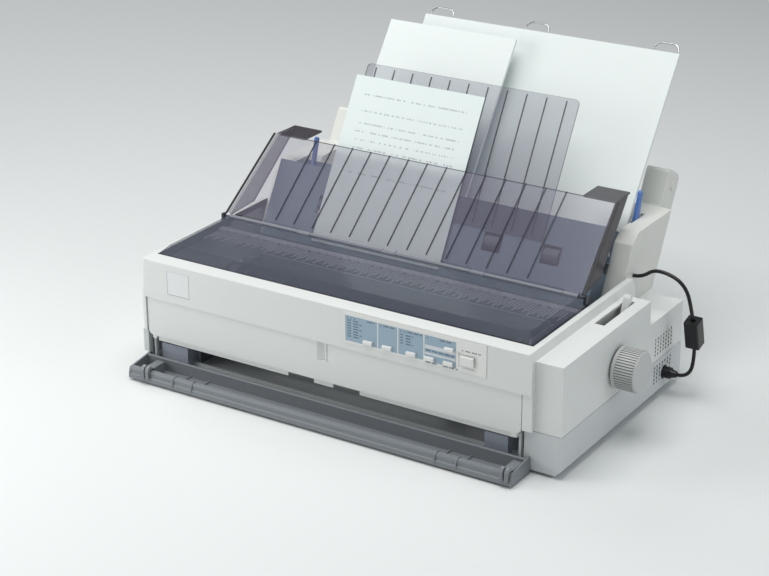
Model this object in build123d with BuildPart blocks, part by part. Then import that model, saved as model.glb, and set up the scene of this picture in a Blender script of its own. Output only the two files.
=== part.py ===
"""Wide-carriage dot matrix printer with its sheet feeder, as separate pieces, in millimetres."""
import math
import os

from build123d import *

os.makedirs("parts", exist_ok=True)

# ---------------------------------------------------------------- driving sizes
# Case: widths run from the left wall, depths run back from the bezel face, heights from the floor.
case_width = 611.0
case_depth = 334.0
wall = 3.0
foot_height = 4.0
seam_height = 56.0
seam_gap = 0.8
seam_inset = 1.2
rim_height = 156.0
rim_depth = 268.0
rim_lean = 4.0
front_strip = 24.0
side_strip = 8.0
bezel_height = 52.0
housing_width = 36.0
housing_height = 146.0
housing_setback = 8.5
housing_end = 238.0
deck_height = 113.0
door_post_left = 8.0
door_post_right = 14.0
post_foot_height = 25.0
sill_setback = 28.0
sill_height = 14.0
edge_bevel = 8.0
edge_round = 6.0
skirt_height = 11.0
skirt_lean = 1.8
ledge_drop = 5.5
ledge_width = 6.0

# Front door
door_clearance = 1.0
door_face = 2.0
door_thickness = 2.6
door_bottom = 50.5
door_corner = 9.0
lip_height = 6.8
lip_setback = 3.0
grip_width = 29.0
grip_height = 26.0
grip_depth = 4.5
grip_ramp = 9.0
notch_width = 39.0
door_hinge_height = 48.0
door_hinge_back = 9.0
door_pin_radius = 2.0
grip_left = 274.0
notch_places = [228.0, 295.5]

# Smoked covers on one hinge
hinge_back = 162.5
hinge_height = 165.2
hinge_rod_radius = 1.5
knuckle_radius = 3.3
window_knuckle = 110.0
flap_knuckle = 20.0
knuckle_gap = 0.4
cover_thickness = 2.5
cover_rise = 1.5
cover_edge_gap = 5.0
window_clearance = 1.6
window_bevel = 10.0
flap_angle = 39.4
flap_length = 137.0
flap_foot_inset = 9.5
flap_taper = 9.6
flap_heel_along = 41.0
flap_heel_depth = 31.0
flap_toe_depth = 4.0
wing_length = 41.0
wing_width = 45.0
flap_rib_count = 14
flap_rib_pitch = 29.1
flap_rib_width = 1.4
flap_rib_height = 1.6
flap_rib_first = 75.7
flap_rib_foot = 8.5

# Control panel
panel_left = 315.0
panel_width = 200.5
panel_height = 43.0
panel_top_drop = 0.8
panel_depth = 4.0
panel_proud = 0.6
label_left = 318.0
label_width = 156.0
label_bottom = 115.5
label_height = 34.0
label_depth = 0.4
key_travel = 1.0
key_reach = 3.0
key_clearance = 0.4
badge_left = 51.0
badge_width = 28.0
badge_bottom = 118.0
badge_height = 12.0
badge_depth = 0.5

# Platen, its shaft and its knob
platen_back = 150.2
platen_height = 92.6
platen_radius = 20.0
shaft_radius = 4.0
knob_radius = 26.5
knob_length = 30.0
knob_gap = 3.0
knob_ribs = 48
knob_rib_depth = 0.9
running_clearance = 0.05
bush_radius = 8.0

# Frames, gears and carriage
frame_thickness = 2.5
frame_left = 62.0
frame_right = 505.5
gear_module = 1.5
gear_width = 6.0
gear_left = 54.0
platen_teeth = 30
idler_teeth = 40
tractor_teeth = 20
pinion_teeth = 12
gear_train_tilt = 214.3
motor_tilt = -40.0
stud_radius = 3.0
tractor_shaft_radius = 4.5
tractor_width = 33.0
tractor_length = 44.0
tractor_thick = 26.0
tractor_left_place = 66.0
tractor_right_place = 425.0
rod_radius = 6.0
rod_back = 105.0
rod_height = 66.0
carriage_width = 62.0
carriage_left = 100.0
carriage_plate_height = 70.0
carriage_plate_thick = 5.0
head_gap = 1.6
belt_width = 6.0
belt_thickness = 1.2
belt_height = 58.0
belt_back = 68.0
pulley_radius = 8.0
idler_pulley_place = 76.0
drive_pulley_place = 530.0
motor_radius = 21.0
motor_shaft_radius = 2.5

# Paper-release lever in the right housing
slot_left = 582.5
slot_width = 13.0
slot_front = 141.0
slot_length = 83.0
release_thick = 9.0
release_pivot_back = 183.0
release_pivot_height = 60.0
release_length = 103.0
release_lean = 20.5
release_pin_radius = 3.0

# Front paper tray
tray_reach = 41.0
tray_left = 5.0
tray_width = 566.0
tray_floor = 3.0
tray_wall = 2.5
tray_guide_width = 12.0

# Sheet feeder
feeder_left_face = 15.0
feeder_right_face = 560.5
feeder_wall = 25.0
feeder_shell = 3.0
feeder_front_foot = 243.0
feeder_depth = 106.0
feeder_height = 205.3
feeder_nose_height = 193.3
rear_foot_back = 358.0
rear_foot_height = 131.7
rear_wall_lean = 39.0 / 73.6
bin_post_width = 32.0
bin_post_depth = 38.0
bin_post_rise = 49.8
bin_post_tail = 52.0
bin_post_angle = 60.7
bin_post_step = 5.0
bin_post_shell = 6.0
post_cap_radius = 8.0
post_cap_proud = 1.2
left_post_place = 27.0
right_post_place = 510.0
bin_angle = 54.4
bin_foot_back = 298.4
bin_foot_height = 163.8
bin_pitch = 26.0
bin_plate_thick = 2.5
bin_plate_length = 45.0
stack_thick = 4.0
rear_sheet_width = 381.0
rear_sheet_length = 279.4
rear_sheet_left = 152.0
front_sheet_width = 195.5
front_sheet_length = 267.0
front_sheet_left = 118.0
front_sheet_drop = 11.6
feed_roller_radius = 8.0
roller_gap = 0.3
feed_roller_width = 22.0
rear_roller_along = 8.0
front_roller_along = -4.0
feed_roller_places = [130.0, 215.0, 300.0, 385.0, 470.0]
feed_shaft_radius = 3.0
wire_radius = 1.1
wire_loop_width = 36.0
wire_proud = 14.0
wire_foot_along = 12.0
wire_loop_places = [173.0, 321.0, 510.5]

# Stacker and printed sheet
stack_angle = 60.0
stacker_left = 135.0
stacker_width = 319.0
stacker_top_back = 337.3
stacker_top_height = 350.7
stacker_length = 185.0
stacker_thick = 2.0
stacker_rib_count = 11
stacker_rib_pitch = 28.7
stacker_rib_first = 15.0
stacker_rib_width = 1.3
stacker_rib_height = 1.4
printed_width = 198.0
printed_left = 124.0
printed_length = 232.0
printed_drop = 18.2
sheet_thick = 0.4
cross_frame_low = 256.0
cross_frame_high = 150.0
cross_frame_thick = 2.4
roller_window = 27.0
roller_window_depth = 25.0
cheek_thick = 3.0

# Ventilation slots in the right wall
vent_front = 257.0
vent_columns = 7
vent_pitch_back = 7.6
vent_pitch_up = 5.2
vent_slot_width = 2.4
vent_slot_height = 3.4
vent_bottom_upper = 65.0
vent_rows_upper = 5
vent_bottom_lower = 26.5
vent_rows_lower = 5

# Feeder cable and its socket
cable_radius = 2.4
plug_back = 286.0
plug_height = 31.5
plug_radius = 7.5
plug_length = 10.0
relief_length = 8.0
socket_radius = 9.5
ferrite_size = 19.0
ferrite_across = 645.0
ferrite_length = 38.0

# ---------------------------------------------------------------- worked-out places
overall_width = case_width + knob_gap + knob_length
slope_run = math.cos(math.radians(bin_angle))
slope_rise = math.sin(math.radians(bin_angle))
wire_offset = bin_plate_thick + wire_radius
wire_top_along = rear_sheet_length + wire_proud
rear_reach = bin_foot_back + wire_top_along * slope_run + wire_offset * slope_rise + wire_radius
case_left = -overall_width / 2
front_face = (tray_reach - rear_reach) / 2


def across(distance):
    """World X of a place so far to the right of the left wall."""
    return case_left + distance


def back(distance):
    """World Y of a place so far behind the bezel face."""
    return front_face + distance


def cuboid(low, high, mode=Mode.ADD):
    """A block between two corners given as across, back and height."""
    size = [high[i] - low[i] for i in range(3)]
    middle = [(high[i] + low[i]) / 2 for i in range(3)]
    with Locations((across(middle[0]), back(middle[1]), middle[2])):
        Box(*size, mode=mode)


def side_form(points, left, right, mode=Mode.ADD):
    """A side view, given as back and height, drawn out from left to right."""
    with BuildSketch(Plane.YZ.offset(across(left))) as outline:
        with BuildLine():
            Polyline(*[(back(y), z) for y, z in points], close=True)
        make_face()
    extrude(outline.sketch, amount=right - left, mode=mode)


def front_form(points, near, far, mode=Mode.ADD):
    """A front view, given as across and height, drawn back from near to far."""
    plane = Plane(origin=(0, back(near), 0), x_dir=(1, 0, 0), z_dir=(0, -1, 0))
    with BuildSketch(plane) as outline:
        with BuildLine():
            Polyline(*[(across(x), z) for x, z in points], close=True)
        make_face()
    extrude(outline.sketch, amount=near - far, mode=mode)


def rod_across(left, right, at_back, at_height, radius, mode=Mode.ADD):
    """A round bar that runs from left to right."""
    plane = Plane(origin=(across(left), back(at_back), at_height), x_dir=(0, 1, 0), z_dir=(1, 0, 0))
    with BuildSketch(plane) as section:
        Circle(radius)
    extrude(section.sketch, amount=right - left, mode=mode)


def vent_field(lowest, rows, mode=Mode.SUBTRACT):
    """A field of upright slots through the right wall, counted up from its lowest row."""
    middle_back = vent_front + (vent_columns - 1) * vent_pitch_back / 2
    middle_height = lowest + (rows - 1) * vent_pitch_up / 2
    plane = Plane(origin=(across(case_width - wall - 1), back(middle_back), middle_height),
                  x_dir=(0, 1, 0), z_dir=(1, 0, 0))
    with BuildSketch(plane) as slots:
        with GridLocations(vent_pitch_back, vent_pitch_up, vent_columns, rows):
            Rectangle(vent_slot_width, vent_slot_height)
    extrude(slots.sketch, amount=wall + 2, mode=mode)


def finish(piece, name):
    """Label a piece and write its file."""
    piece.part.label = name
    export_step(piece.part, f"parts/{name}.step")


# ---------------------------------------------------------------- case
main_right = case_width - housing_width
upper_bottom = seam_height + seam_gap
rim_left = rim_lean
rim_right = main_right - rim_lean
opening_left = rim_left + side_strip
opening_right = rim_right - side_strip
bezel_bottom = rim_height - bezel_height
door_left = door_post_left
door_right = main_right - door_post_right + 1.0
throat_left = left_post_place + bin_post_width - 1.0
throat_right = right_post_place - 2.0
throat_front = 172.0
throat_back = case_depth - 16.0
knob_base = case_width + knob_gap

with BuildPart() as upper_case:
    front_form([(0, upper_bottom), (0, bezel_bottom), (rim_left, rim_height), (rim_right, rim_height),
                (main_right, housing_height), (main_right, upper_bottom)], 0, rim_depth)
    fillet(upper_case.edges().filter_by(Axis.Z).group_by(Axis.Y)[0].sort_by(Axis.X)[0], edge_round)
    cuboid((main_right, housing_setback, upper_bottom), (case_width, housing_end, housing_height))
    cuboid((0, housing_end - edge_round, upper_bottom), (case_width, case_depth, deck_height))
    # hollow inside
    cuboid((wall, wall, upper_bottom), (main_right - wall, case_depth - wall, deck_height - wall),
           mode=Mode.SUBTRACT)
    cuboid((main_right - wall - 1, housing_setback + wall, upper_bottom),
           (case_width - wall, case_depth - wall, deck_height - wall), mode=Mode.SUBTRACT)
    cuboid((rim_left + wall, wall, deck_height - wall),
           (main_right - wall, rim_depth - wall, rim_height - ledge_drop - wall), mode=Mode.SUBTRACT)
    cuboid((main_right + wall, housing_setback + wall, deck_height - wall),
           (case_width - wall, housing_end - wall, housing_height - wall), mode=Mode.SUBTRACT)
    # opening for the covers, with a ledge that the window lies on
    cuboid((opening_left, front_strip, rim_height - ledge_drop),
           (opening_right, rim_depth + 1, rim_height + 1), mode=Mode.SUBTRACT)
    cuboid((opening_left + ledge_width, front_strip + ledge_width, deck_height),
           (opening_right - ledge_width, rim_depth + 1, rim_height), mode=Mode.SUBTRACT)
    cuboid((opening_left, hinge_back + 12, deck_height), (opening_right, rim_depth + 1, rim_height),
           mode=Mode.SUBTRACT)
    # throat that the feeder and the rear paper path use
    cuboid((throat_left, throat_front, deck_height - wall - 1), (throat_right, throat_back, deck_height + 1),
           mode=Mode.SUBTRACT)
    # door opening between the posts
    cuboid((door_left, -1, upper_bottom - 1), (door_right, wall + 1, bezel_bottom), mode=Mode.SUBTRACT)
    # the right post stands back, level with the door
    cuboid((door_right, -1, upper_bottom - 1), (main_right, door_face, bezel_bottom), mode=Mode.SUBTRACT)
    cuboid((door_right, door_face, upper_bottom), (main_right, door_face + wall, bezel_bottom))
    # recess for the control panel and bare plate for a badge
    cuboid((panel_left, -1, rim_height - panel_height),
           (panel_left + panel_width, panel_depth, rim_height - panel_top_drop), mode=Mode.SUBTRACT)
    cuboid((panel_left, panel_depth - 0.5, rim_height - panel_height),
           (panel_left + panel_width, panel_depth + wall, rim_height - 4))
    cuboid((badge_left, -1, badge_bottom),
           (badge_left + badge_width, badge_depth, badge_bottom + badge_height), mode=Mode.SUBTRACT)
    # lever slot in the housing top
    cuboid((slot_left, slot_front, housing_height - wall - 1),
           (slot_left + slot_width, slot_front + slot_length, housing_height + 1), mode=Mode.SUBTRACT)
    # hole for the platen shaft
    rod_across(case_width - wall - 1, case_width + 1, platen_back, platen_height, shaft_radius + 2,
               mode=Mode.SUBTRACT)
    # ventilation slots of the upper half
    vent_field(vent_bottom_upper, vent_rows_upper)
    # pin that carries the paper-release lever
    rod_across(slot_left - 1, case_width - wall + 0.5, release_pivot_back, release_pivot_height,
               release_pin_radius)
finish(upper_case, "upper_case")

corner_left = door_right
foot_places = [(28.0, 42.0), (case_width - 28.0, 42.0), (28.0, 300.0), (case_width - 28.0, 300.0)]
foot_radius = 9.0
inlet_left = 60.0
inlet_width = 28.0
inlet_bottom = 18.0
inlet_height = 22.0
data_left = 140.0
data_width = 66.0
data_height = 16.0
ear_left = 12.0
ear_thick = 3.0
ear_depth = 9.0
pad_width = 8.0
pad_front = 100.0
pad_length = 120.0
pad_height = 6.0

with BuildPart() as lower_case:
    cuboid((0, housing_setback, foot_height), (case_width, case_depth, seam_height))
    bottom_edges = lower_case.faces().sort_by(Axis.Z)[0].edges()
    chamfer(bottom_edges.filter_by(Axis.Y), edge_bevel)
    chamfer(lower_case.faces().sort_by(Axis.Z)[0].edges().filter_by(Axis.X).sort_by(Axis.Y)[-1], edge_bevel)
    # tongue that the upper half sits on, set in so that a dark joint shows
    cuboid((seam_inset, housing_setback + seam_inset, seam_height - 1),
           (case_width - seam_inset, case_depth - seam_inset, upper_bottom))
    cuboid((wall, housing_setback + wall, foot_height + wall + edge_bevel),
           (case_width - wall, case_depth - wall, seam_height + 1), mode=Mode.SUBTRACT)
    cuboid((wall + edge_bevel, housing_setback + wall, foot_height + wall),
           (case_width - wall - edge_bevel, case_depth - wall - edge_bevel, seam_height + 1),
           mode=Mode.SUBTRACT)
    cuboid((door_left, -1, foot_height + wall), (corner_left, housing_setback + wall + 1, seam_height + 1),
           mode=Mode.SUBTRACT)
    cuboid((0, door_face, post_foot_height), (door_left, housing_setback + wall, seam_height))
    side_form([(housing_setback - 1, foot_height - 1), (housing_setback + skirt_lean, foot_height - 1),
               (housing_setback + skirt_lean, foot_height), (housing_setback, foot_height + skirt_height),
               (housing_setback - 1, foot_height + skirt_height)], corner_left, case_width + 1, Mode.SUBTRACT)
    cuboid((door_left, sill_setback - wall, foot_height + wall - 1), (corner_left, sill_setback, sill_height))
    # ears that hold the door's hinge pins
    for ear in (ear_left, corner_left - ear_left + door_left - ear_thick):
        cuboid((ear, housing_setback, foot_height + wall - 1),
               (ear + ear_thick, door_hinge_back + ear_depth / 2, door_hinge_height + ear_depth / 2))
        rod_across(ear - 1, ear + ear_thick + 1, door_hinge_back, door_hinge_height,
                   door_pin_radius + running_clearance, mode=Mode.SUBTRACT)
    vent_field(vent_bottom_lower, vent_rows_lower)
    rod_across(case_width - 2 * wall, case_width, plug_back, plug_height, socket_radius + wall)
    rod_across(case_width - 2 * wall - 1, case_width + 1, plug_back, plug_height, socket_radius,
               mode=Mode.SUBTRACT)
    cuboid((inlet_left, case_depth - wall - 1, inlet_bottom),
           (inlet_left + inlet_width, case_depth + 1, inlet_bottom + inlet_height), mode=Mode.SUBTRACT)
    cuboid((data_left, case_depth - wall - 1, inlet_bottom),
           (data_left + data_width, case_depth + 1, inlet_bottom + data_height), mode=Mode.SUBTRACT)
    # raised pads under the side frames and the boards
    for pad_left in (frame_left - pad_width, frame_right + frame_thickness):
        cuboid((pad_left, pad_front, foot_height + wall - 1), (pad_left + pad_width, pad_front + pad_length,
               foot_height + wall + pad_height))
finish(lower_case, "lower_case")

with BuildPart() as rubber_feet:
    with Locations(*[(across(x), back(y), foot_height / 2) for x, y in foot_places]):
        Cylinder(foot_radius, foot_height)
    chamfer(rubber_feet.faces().group_by(Axis.Z)[0].edges(), 1.0)
finish(rubber_feet, "rubber_feet")

# ---------------------------------------------------------------- control panel and its keys
panel_back = panel_depth - 0.5
panel_fit = 0.3
key_row = label_bottom + 1.4
row_key_width = 12.8
row_key_height = 5.4
row_key_places = [344.9, 371.9, 405.9, 431.4, 457.5]
pause_left = 459.0
pause_bottom = 135.4
pause_height = 5.2
power_left = 481.0
power_bottom = 122.5
power_width = 17.5
power_height = 12.0
separator_places = [364.0, 392.5, 429.0]
separator_width = 1.4
keys = [(left, key_row, row_key_width, row_key_height) for left in row_key_places]
keys.append((pause_left, pause_bottom, row_key_width - 1, pause_height))
keys.append((power_left, power_bottom, power_width, power_height))

with BuildPart() as control_panel:
    cuboid((panel_left + panel_fit, -panel_proud, rim_height - panel_height + panel_fit),
           (panel_left + panel_width - panel_fit, panel_back, rim_height - panel_top_drop - panel_fit))
    fillet(control_panel.edges().filter_by(Axis.Z).group_by(Axis.Y)[0], 0.5)
    cuboid((label_left, -panel_proud - 1, label_bottom),
           (label_left + label_width, label_depth - panel_proud, label_bottom + label_height),
           mode=Mode.SUBTRACT)
    for place in separator_places:
        cuboid((place, -panel_proud, label_bottom),
               (place + separator_width, label_depth - panel_proud, label_bottom + label_height))
    cuboid((power_left - 4, -panel_proud - 1, power_bottom - 4),
           (power_left + power_width + 4, 0.6, power_bottom + power_height + 3), mode=Mode.SUBTRACT)
    for left, bottom, width, height in keys:
        cuboid((left - key_clearance, -2, bottom - key_clearance),
               (left + width + key_clearance, panel_depth, bottom + height + key_clearance),
               mode=Mode.SUBTRACT)
finish(control_panel, "control_panel")

key_names = ["select_key", "pitch_key", "tear_off_key", "feed_key", "load_key", "pause_key", "power_key"]
for name, (left, bottom, width, height) in zip(key_names, keys):
    with BuildPart() as key_cap:
        cuboid((left, -panel_proud - key_reach, bottom),
               (left + width, panel_back - key_travel - 0.2, bottom + height))
        front_edges = key_cap.faces().sort_by(Axis.Y)[0].edges()
        fillet(front_edges.sort_by(Axis.Z)[-1], 1.2)
        chamfer(key_cap.faces().sort_by(Axis.Y)[0].edges().sort_by(Axis.Z)[0], 1.0)
    finish(key_cap, name)

# ---------------------------------------------------------------- front door
door_inner_left = door_left + door_clearance
door_inner_right = door_right - door_clearance
door_top = bezel_bottom - 0.6
door_back = door_face + door_thickness
lip_left = door_inner_left + 14.0
lip_right = door_inner_right - 9.0
pin_end_left = ear_left - 0.3
lug_left = ear_left + ear_thick + 0.3
lug_thick = 3.0
lug_web = 6.0
mirror_sum = door_left + corner_left

with BuildPart() as front_door:
    cuboid((door_inner_left, door_face, door_bottom), (door_inner_right, door_back, door_top))
    fillet(front_door.edges().filter_by(Axis.Y).group_by(Axis.Z)[0], door_corner)
    cuboid((lip_left, door_face + lip_setback - 0.5, door_bottom - lip_height),
           (lip_right, door_back + lip_setback - 0.5, door_bottom + 2.0))
    for notch in notch_places:
        cuboid((notch, -1, door_bottom - lip_height - 1), (notch + notch_width, door_back + lip_setback + 1,
               door_bottom - 1.5), mode=Mode.SUBTRACT)
    # finger scoop at the top edge, steep at its left end and running out to the right
    cuboid((grip_left - wall, door_back - 0.5, door_top - grip_height - wall),
           (grip_left + grip_width, door_back + grip_depth, door_top - 1))
    with BuildSketch(Plane.XY.offset(door_top - grip_height)) as scoop:
        with BuildLine():
            Polyline((across(grip_left), back(door_face - 1)), (across(grip_left), back(door_face)),
                     (across(grip_left + grip_ramp), back(door_face + grip_depth)),
                     (across(grip_left + grip_width), back(door_face)),
                     (across(grip_left + grip_width), back(door_face - 1)), close=True)
        make_face()
    extrude(scoop.sketch, amount=grip_height + 1, mode=Mode.SUBTRACT)
    # stiffening flanges inside
    cuboid((door_inner_left + 12, door_back, door_top - 3),
           (door_inner_right - 12, door_back + 5, door_top - 1))
    for rib_place in range(1, 6):
        rib_x = door_inner_left + rib_place * (door_inner_right - door_inner_left) / 6
        cuboid((rib_x, door_back, door_bottom + 3), (rib_x + 1.6, door_back + 4, door_top - 3))
    for lug, web in ((lug_left, lug_left),
                     (mirror_sum - lug_left - lug_thick, mirror_sum - lug_left - lug_web)):
        cuboid((lug, door_back - 0.6, door_hinge_height - 3.5), (lug + lug_thick, door_hinge_back + 3.5,
               door_hinge_height + 3.5))
        cuboid((web, door_face + 0.3, door_hinge_height - 1.0),
               (web + lug_web, door_back + 1.5, door_bottom + 6))
    rod_across(pin_end_left, lug_left + 0.5, door_hinge_back, door_hinge_height, door_pin_radius)
    rod_across(mirror_sum - lug_left - 0.5, mirror_sum - pin_end_left, door_hinge_back, door_hinge_height,
               door_pin_radius)
finish(front_door, "front_door")

# ---------------------------------------------------------------- smoked covers and their hinge
hinge_left = opening_left + 2.0
hinge_right = opening_right - 2.0
bracket_thick = 3.6
cover_middle = (opening_left + opening_right) / 2
station_pitch = window_knuckle + flap_knuckle + 2 * knuckle_gap
station_first = cover_middle - 2 * station_pitch
station_places = [station_first + number * station_pitch for number in range(4)]
window_left = opening_left + window_clearance
window_right = opening_right - window_clearance
window_front = front_strip + window_clearance
window_back = hinge_back - cover_edge_gap
window_low = rim_height - ledge_drop + 0.2
window_top = hinge_height + cover_rise
bore_radius = hinge_rod_radius + running_clearance

with BuildPart() as front_window:
    cuboid((window_left, window_front, window_low), (window_right, window_back, window_top))
    top_edges = front_window.faces().sort_by(Axis.Z)[-1].edges()
    chamfer(top_edges.sort_by(Axis.Y)[:-1], window_bevel)
    offset(amount=-cover_thickness, openings=[front_window.faces().sort_by(Axis.Z)[0],
                                              front_window.faces().sort_by(Axis.Y)[-1]])
    for station in station_places:
        cuboid((station, window_back - 2, hinge_height + cover_rise - cover_thickness),
               (station + window_knuckle, hinge_back, hinge_height + cover_rise))
        rod_across(station, station + window_knuckle, hinge_back, hinge_height, knuckle_radius)
        rod_across(station - 1, station + window_knuckle + 1, hinge_back, hinge_height, bore_radius,
                   mode=Mode.SUBTRACT)
finish(front_window, "front_window")

flap_origin = (across(cover_middle), back(hinge_back), hinge_height)
flap_run = math.cos(math.radians(flap_angle))
flap_rise = math.sin(math.radians(flap_angle))
flap_plane = Plane(origin=flap_origin, x_dir=(1, 0, 0), z_dir=(0, -flap_rise, flap_run))
flap_foot = (opening_right - opening_left) / 2 - flap_foot_inset
flap_head = flap_foot - flap_taper
edge_length = math.hypot(flap_taper, flap_length - cover_edge_gap)
wing_run = wing_length * flap_run
wing_drop = wing_length * flap_rise
cover_low = cover_rise - cover_thickness


def flap_side(points, u_left, u_right, mode=Mode.ADD):
    """A side view on the flap, given along and above its panel, drawn out from left to right."""
    origin = (across(cover_middle) + u_left, back(hinge_back), hinge_height)
    plane = Plane(origin=origin, x_dir=(0, flap_run, flap_rise), z_dir=(1, 0, 0))
    with BuildSketch(plane) as outline:
        with BuildLine():
            Polyline(*points, close=True)
        make_face()
    extrude(outline.sketch, amount=u_right - u_left, mode=mode)


with BuildPart(flap_plane) as rear_flap:
    with BuildSketch(flap_plane.offset(cover_low)):
        with BuildLine():
            Polyline((-flap_foot, cover_edge_gap), (flap_foot, cover_edge_gap), (flap_head, flap_length),
                     (-flap_head, flap_length), close=True)
        make_face()
    extrude(amount=cover_thickness)
    # right side wall in the slanted plane of the panel's edge, then its mirror image
    edge_along = flap_plane.from_local_coords(Vector(-flap_taper, flap_length - cover_edge_gap, 0)) - Vector(
        *flap_origin)
    wall_origin = flap_plane.from_local_coords(Vector(flap_foot, cover_edge_gap, 0))
    wall_plane = Plane(origin=wall_origin, x_dir=edge_along, z_dir=edge_along.cross(flap_plane.z_dir))
    with BuildSketch(wall_plane):
        with BuildLine():
            Polyline((0, cover_rise), (edge_length, cover_rise),
                     (edge_length + wing_run, cover_rise - wing_drop),
                     (flap_heel_along, -flap_heel_depth), (0, -flap_toe_depth), close=True)
        make_face()
    extrude(amount=-cover_thickness)
    wing_outer = flap_head - cover_thickness / 2
    flap_side([(flap_length - 1, cover_low), (flap_length - 1, cover_rise), (flap_length, cover_rise),
               (flap_length + wing_run, cover_rise - wing_drop),
               (flap_length + wing_run - cover_thickness * flap_rise,
                cover_rise - wing_drop - cover_thickness * flap_run)], wing_outer - wing_width, wing_outer)
    mirror(about=Plane.YZ.offset(across(cover_middle)))
    for number in range(flap_rib_count):
        rib_u = -flap_foot + flap_rib_first + number * flap_rib_pitch
        with Locations((rib_u, (flap_length + flap_rib_foot) / 2, cover_rise + flap_rib_height / 2)):
            Box(flap_rib_width, flap_length - flap_rib_foot, flap_rib_height)
    for station in station_places:
        own_left = station + window_knuckle + knuckle_gap - cover_middle
        own_right = own_left + flap_knuckle
        flap_side([(0, cover_low), (0, cover_rise), (cover_edge_gap + 2, cover_rise),
                   (cover_edge_gap + 2, cover_low)], own_left, own_right)
        rod_across(own_left + cover_middle, own_right + cover_middle, hinge_back, hinge_height,
                   knuckle_radius)
        rod_across(own_left + cover_middle - 1, own_right + cover_middle + 1, hinge_back, hinge_height,
                   bore_radius, mode=Mode.SUBTRACT)
finish(rear_flap, "rear_flap")

with BuildPart() as hinge_pins:
    for bracket in (hinge_left, hinge_right - bracket_thick):
        side_form([(hinge_back - 4, rim_height - ledge_drop), (hinge_back + 5, rim_height - ledge_drop),
                   (hinge_back + 3, hinge_height + 3), (hinge_back - 3, hinge_height + 3)],
                  bracket, bracket + bracket_thick)
    rod_across(hinge_left, hinge_right, hinge_back, hinge_height, hinge_rod_radius)
finish(hinge_pins, "hinge_pins")

# ---------------------------------------------------------------- frames, guides and the platen group
floor_top = foot_height + wall
gear_right = gear_left + gear_width
frame_inner_left = frame_left + frame_thickness
frame_outer_right = frame_right + frame_thickness


def pitch_radius(teeth):
    return gear_module * teeth / 2


def placed_from(at_back, at_height, distance, tilt):
    """A place at a distance and a direction from another one, in the side view."""
    angle = math.radians(tilt)
    return at_back + distance * math.cos(angle), at_height + distance * math.sin(angle)


def meshing_phase(direction, own_phase, own_teeth, other_teeth):
    """Phase that puts a gap of the other wheel on a tooth of this one."""
    return direction + 180 + 180 / other_teeth - (own_phase - direction) * own_teeth / other_teeth


def spur_wheel(at_back, at_height, teeth, bore, phase, left, width):
    """A toothed wheel on a shaft that runs from left to right."""
    pitch = pitch_radius(teeth)
    tip = pitch + 0.75 * gear_module
    root = pitch - 1.15 * gear_module
    half_pitch_width = 0.21 * math.pi * gear_module
    flank = math.tan(math.radians(20))
    points = []
    for number in range(teeth):
        middle = math.radians(phase) + number * 2 * math.pi / teeth
        for radius, side in ((root, -1), (tip, -1), (tip, 1), (root, 1)):
            half_angle = (half_pitch_width - (radius - pitch) * flank) / radius
            angle = middle + side * half_angle
            points.append((radius * math.cos(angle), radius * math.sin(angle)))
    plane = Plane(origin=(across(left), back(at_back), at_height), x_dir=(0, 1, 0), z_dir=(1, 0, 0))
    with BuildSketch(plane) as outline:
        with BuildLine():
            Polyline(*points, close=True)
        make_face()
        Circle(bore, mode=Mode.SUBTRACT)
    extrude(outline.sketch, amount=width)


idler_distance = pitch_radius(platen_teeth) + pitch_radius(idler_teeth)
tractor_distance = idler_distance + pitch_radius(idler_teeth) + pitch_radius(tractor_teeth)
pinion_distance = pitch_radius(platen_teeth) + pitch_radius(pinion_teeth)
idler_back, idler_height = placed_from(platen_back, platen_height, idler_distance, gear_train_tilt)
tractor_back, tractor_height = placed_from(platen_back, platen_height, tractor_distance, gear_train_tilt)
pinion_back, pinion_height = placed_from(platen_back, platen_height, pinion_distance, motor_tilt)
platen_phase = 0.0
idler_phase = meshing_phase(gear_train_tilt, platen_phase, platen_teeth, idler_teeth)
tractor_phase = meshing_phase(gear_train_tilt, idler_phase, idler_teeth, tractor_teeth)
pinion_phase = meshing_phase(motor_tilt, platen_phase, platen_teeth, pinion_teeth)
stay_radius = 3.0
stay_back = 86.0
stay_height = 30.0
rail_front = 46.0
rail_depth = 8.0
rail_bottom = 58.0
belt_slot = [(56.5, 56.0), (80.0, 66.5)]
frame_outline = [(40, floor_top), (232, floor_top), (232, 70), (206, 98), (180, 113), (124, 113), (104, 92),
                 (66, 92), (60, 96), (40, 96)]
standoff_places = [(198.0, 90.0), (196.0, 54.0), (160.0, 44.0)]
motor_flange_left = 50.0
flange_thick = 2.0
shelf_height = 94.0
pulley_tab_height = 53.0
idler_pin_radius = 2.0
cartridge_left = 80.0
cartridge_right = 490.0


def frame_holes(left):
    """Holes that both frames share, and the large openings that lighten them."""
    right = left + frame_thickness
    rod_across(left, right, platen_back, platen_height, bush_radius, mode=Mode.SUBTRACT)
    rod_across(left, right, tractor_back, tractor_height, tractor_shaft_radius + running_clearance,
               mode=Mode.SUBTRACT)
    for hole_back, hole_height, hole_radius in ((212, 40, 12), (186, 78, 7)):
        rod_across(left, right, hole_back, hole_height, hole_radius, mode=Mode.SUBTRACT)


with BuildPart() as side_frames:
    side_form(frame_outline, frame_left, frame_inner_left)
    frame_holes(frame_left)
    cuboid((frame_inner_left, 42, shelf_height), (cartridge_left + 6, 58, 96))
    cuboid((frame_inner_left, 60, pulley_tab_height), (86, 76, pulley_tab_height + 2))
    with Locations((across(idler_pulley_place), back(belt_back), pulley_tab_height + 7)):
        Cylinder(idler_pin_radius, 14)
    rod_across(gear_left - 3, frame_left + 1, idler_back, idler_height, stud_radius)
    side_form(frame_outline, frame_right, frame_outer_right)
    frame_holes(frame_right)
    cuboid((frame_right - 1, belt_slot[0][0], belt_slot[0][1]), (frame_outer_right + 1, *belt_slot[1]),
           mode=Mode.SUBTRACT)
    cuboid((cartridge_right - 6, 42, shelf_height), (frame_right, 58, 96))
finish(side_frames, "side_frames")

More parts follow.
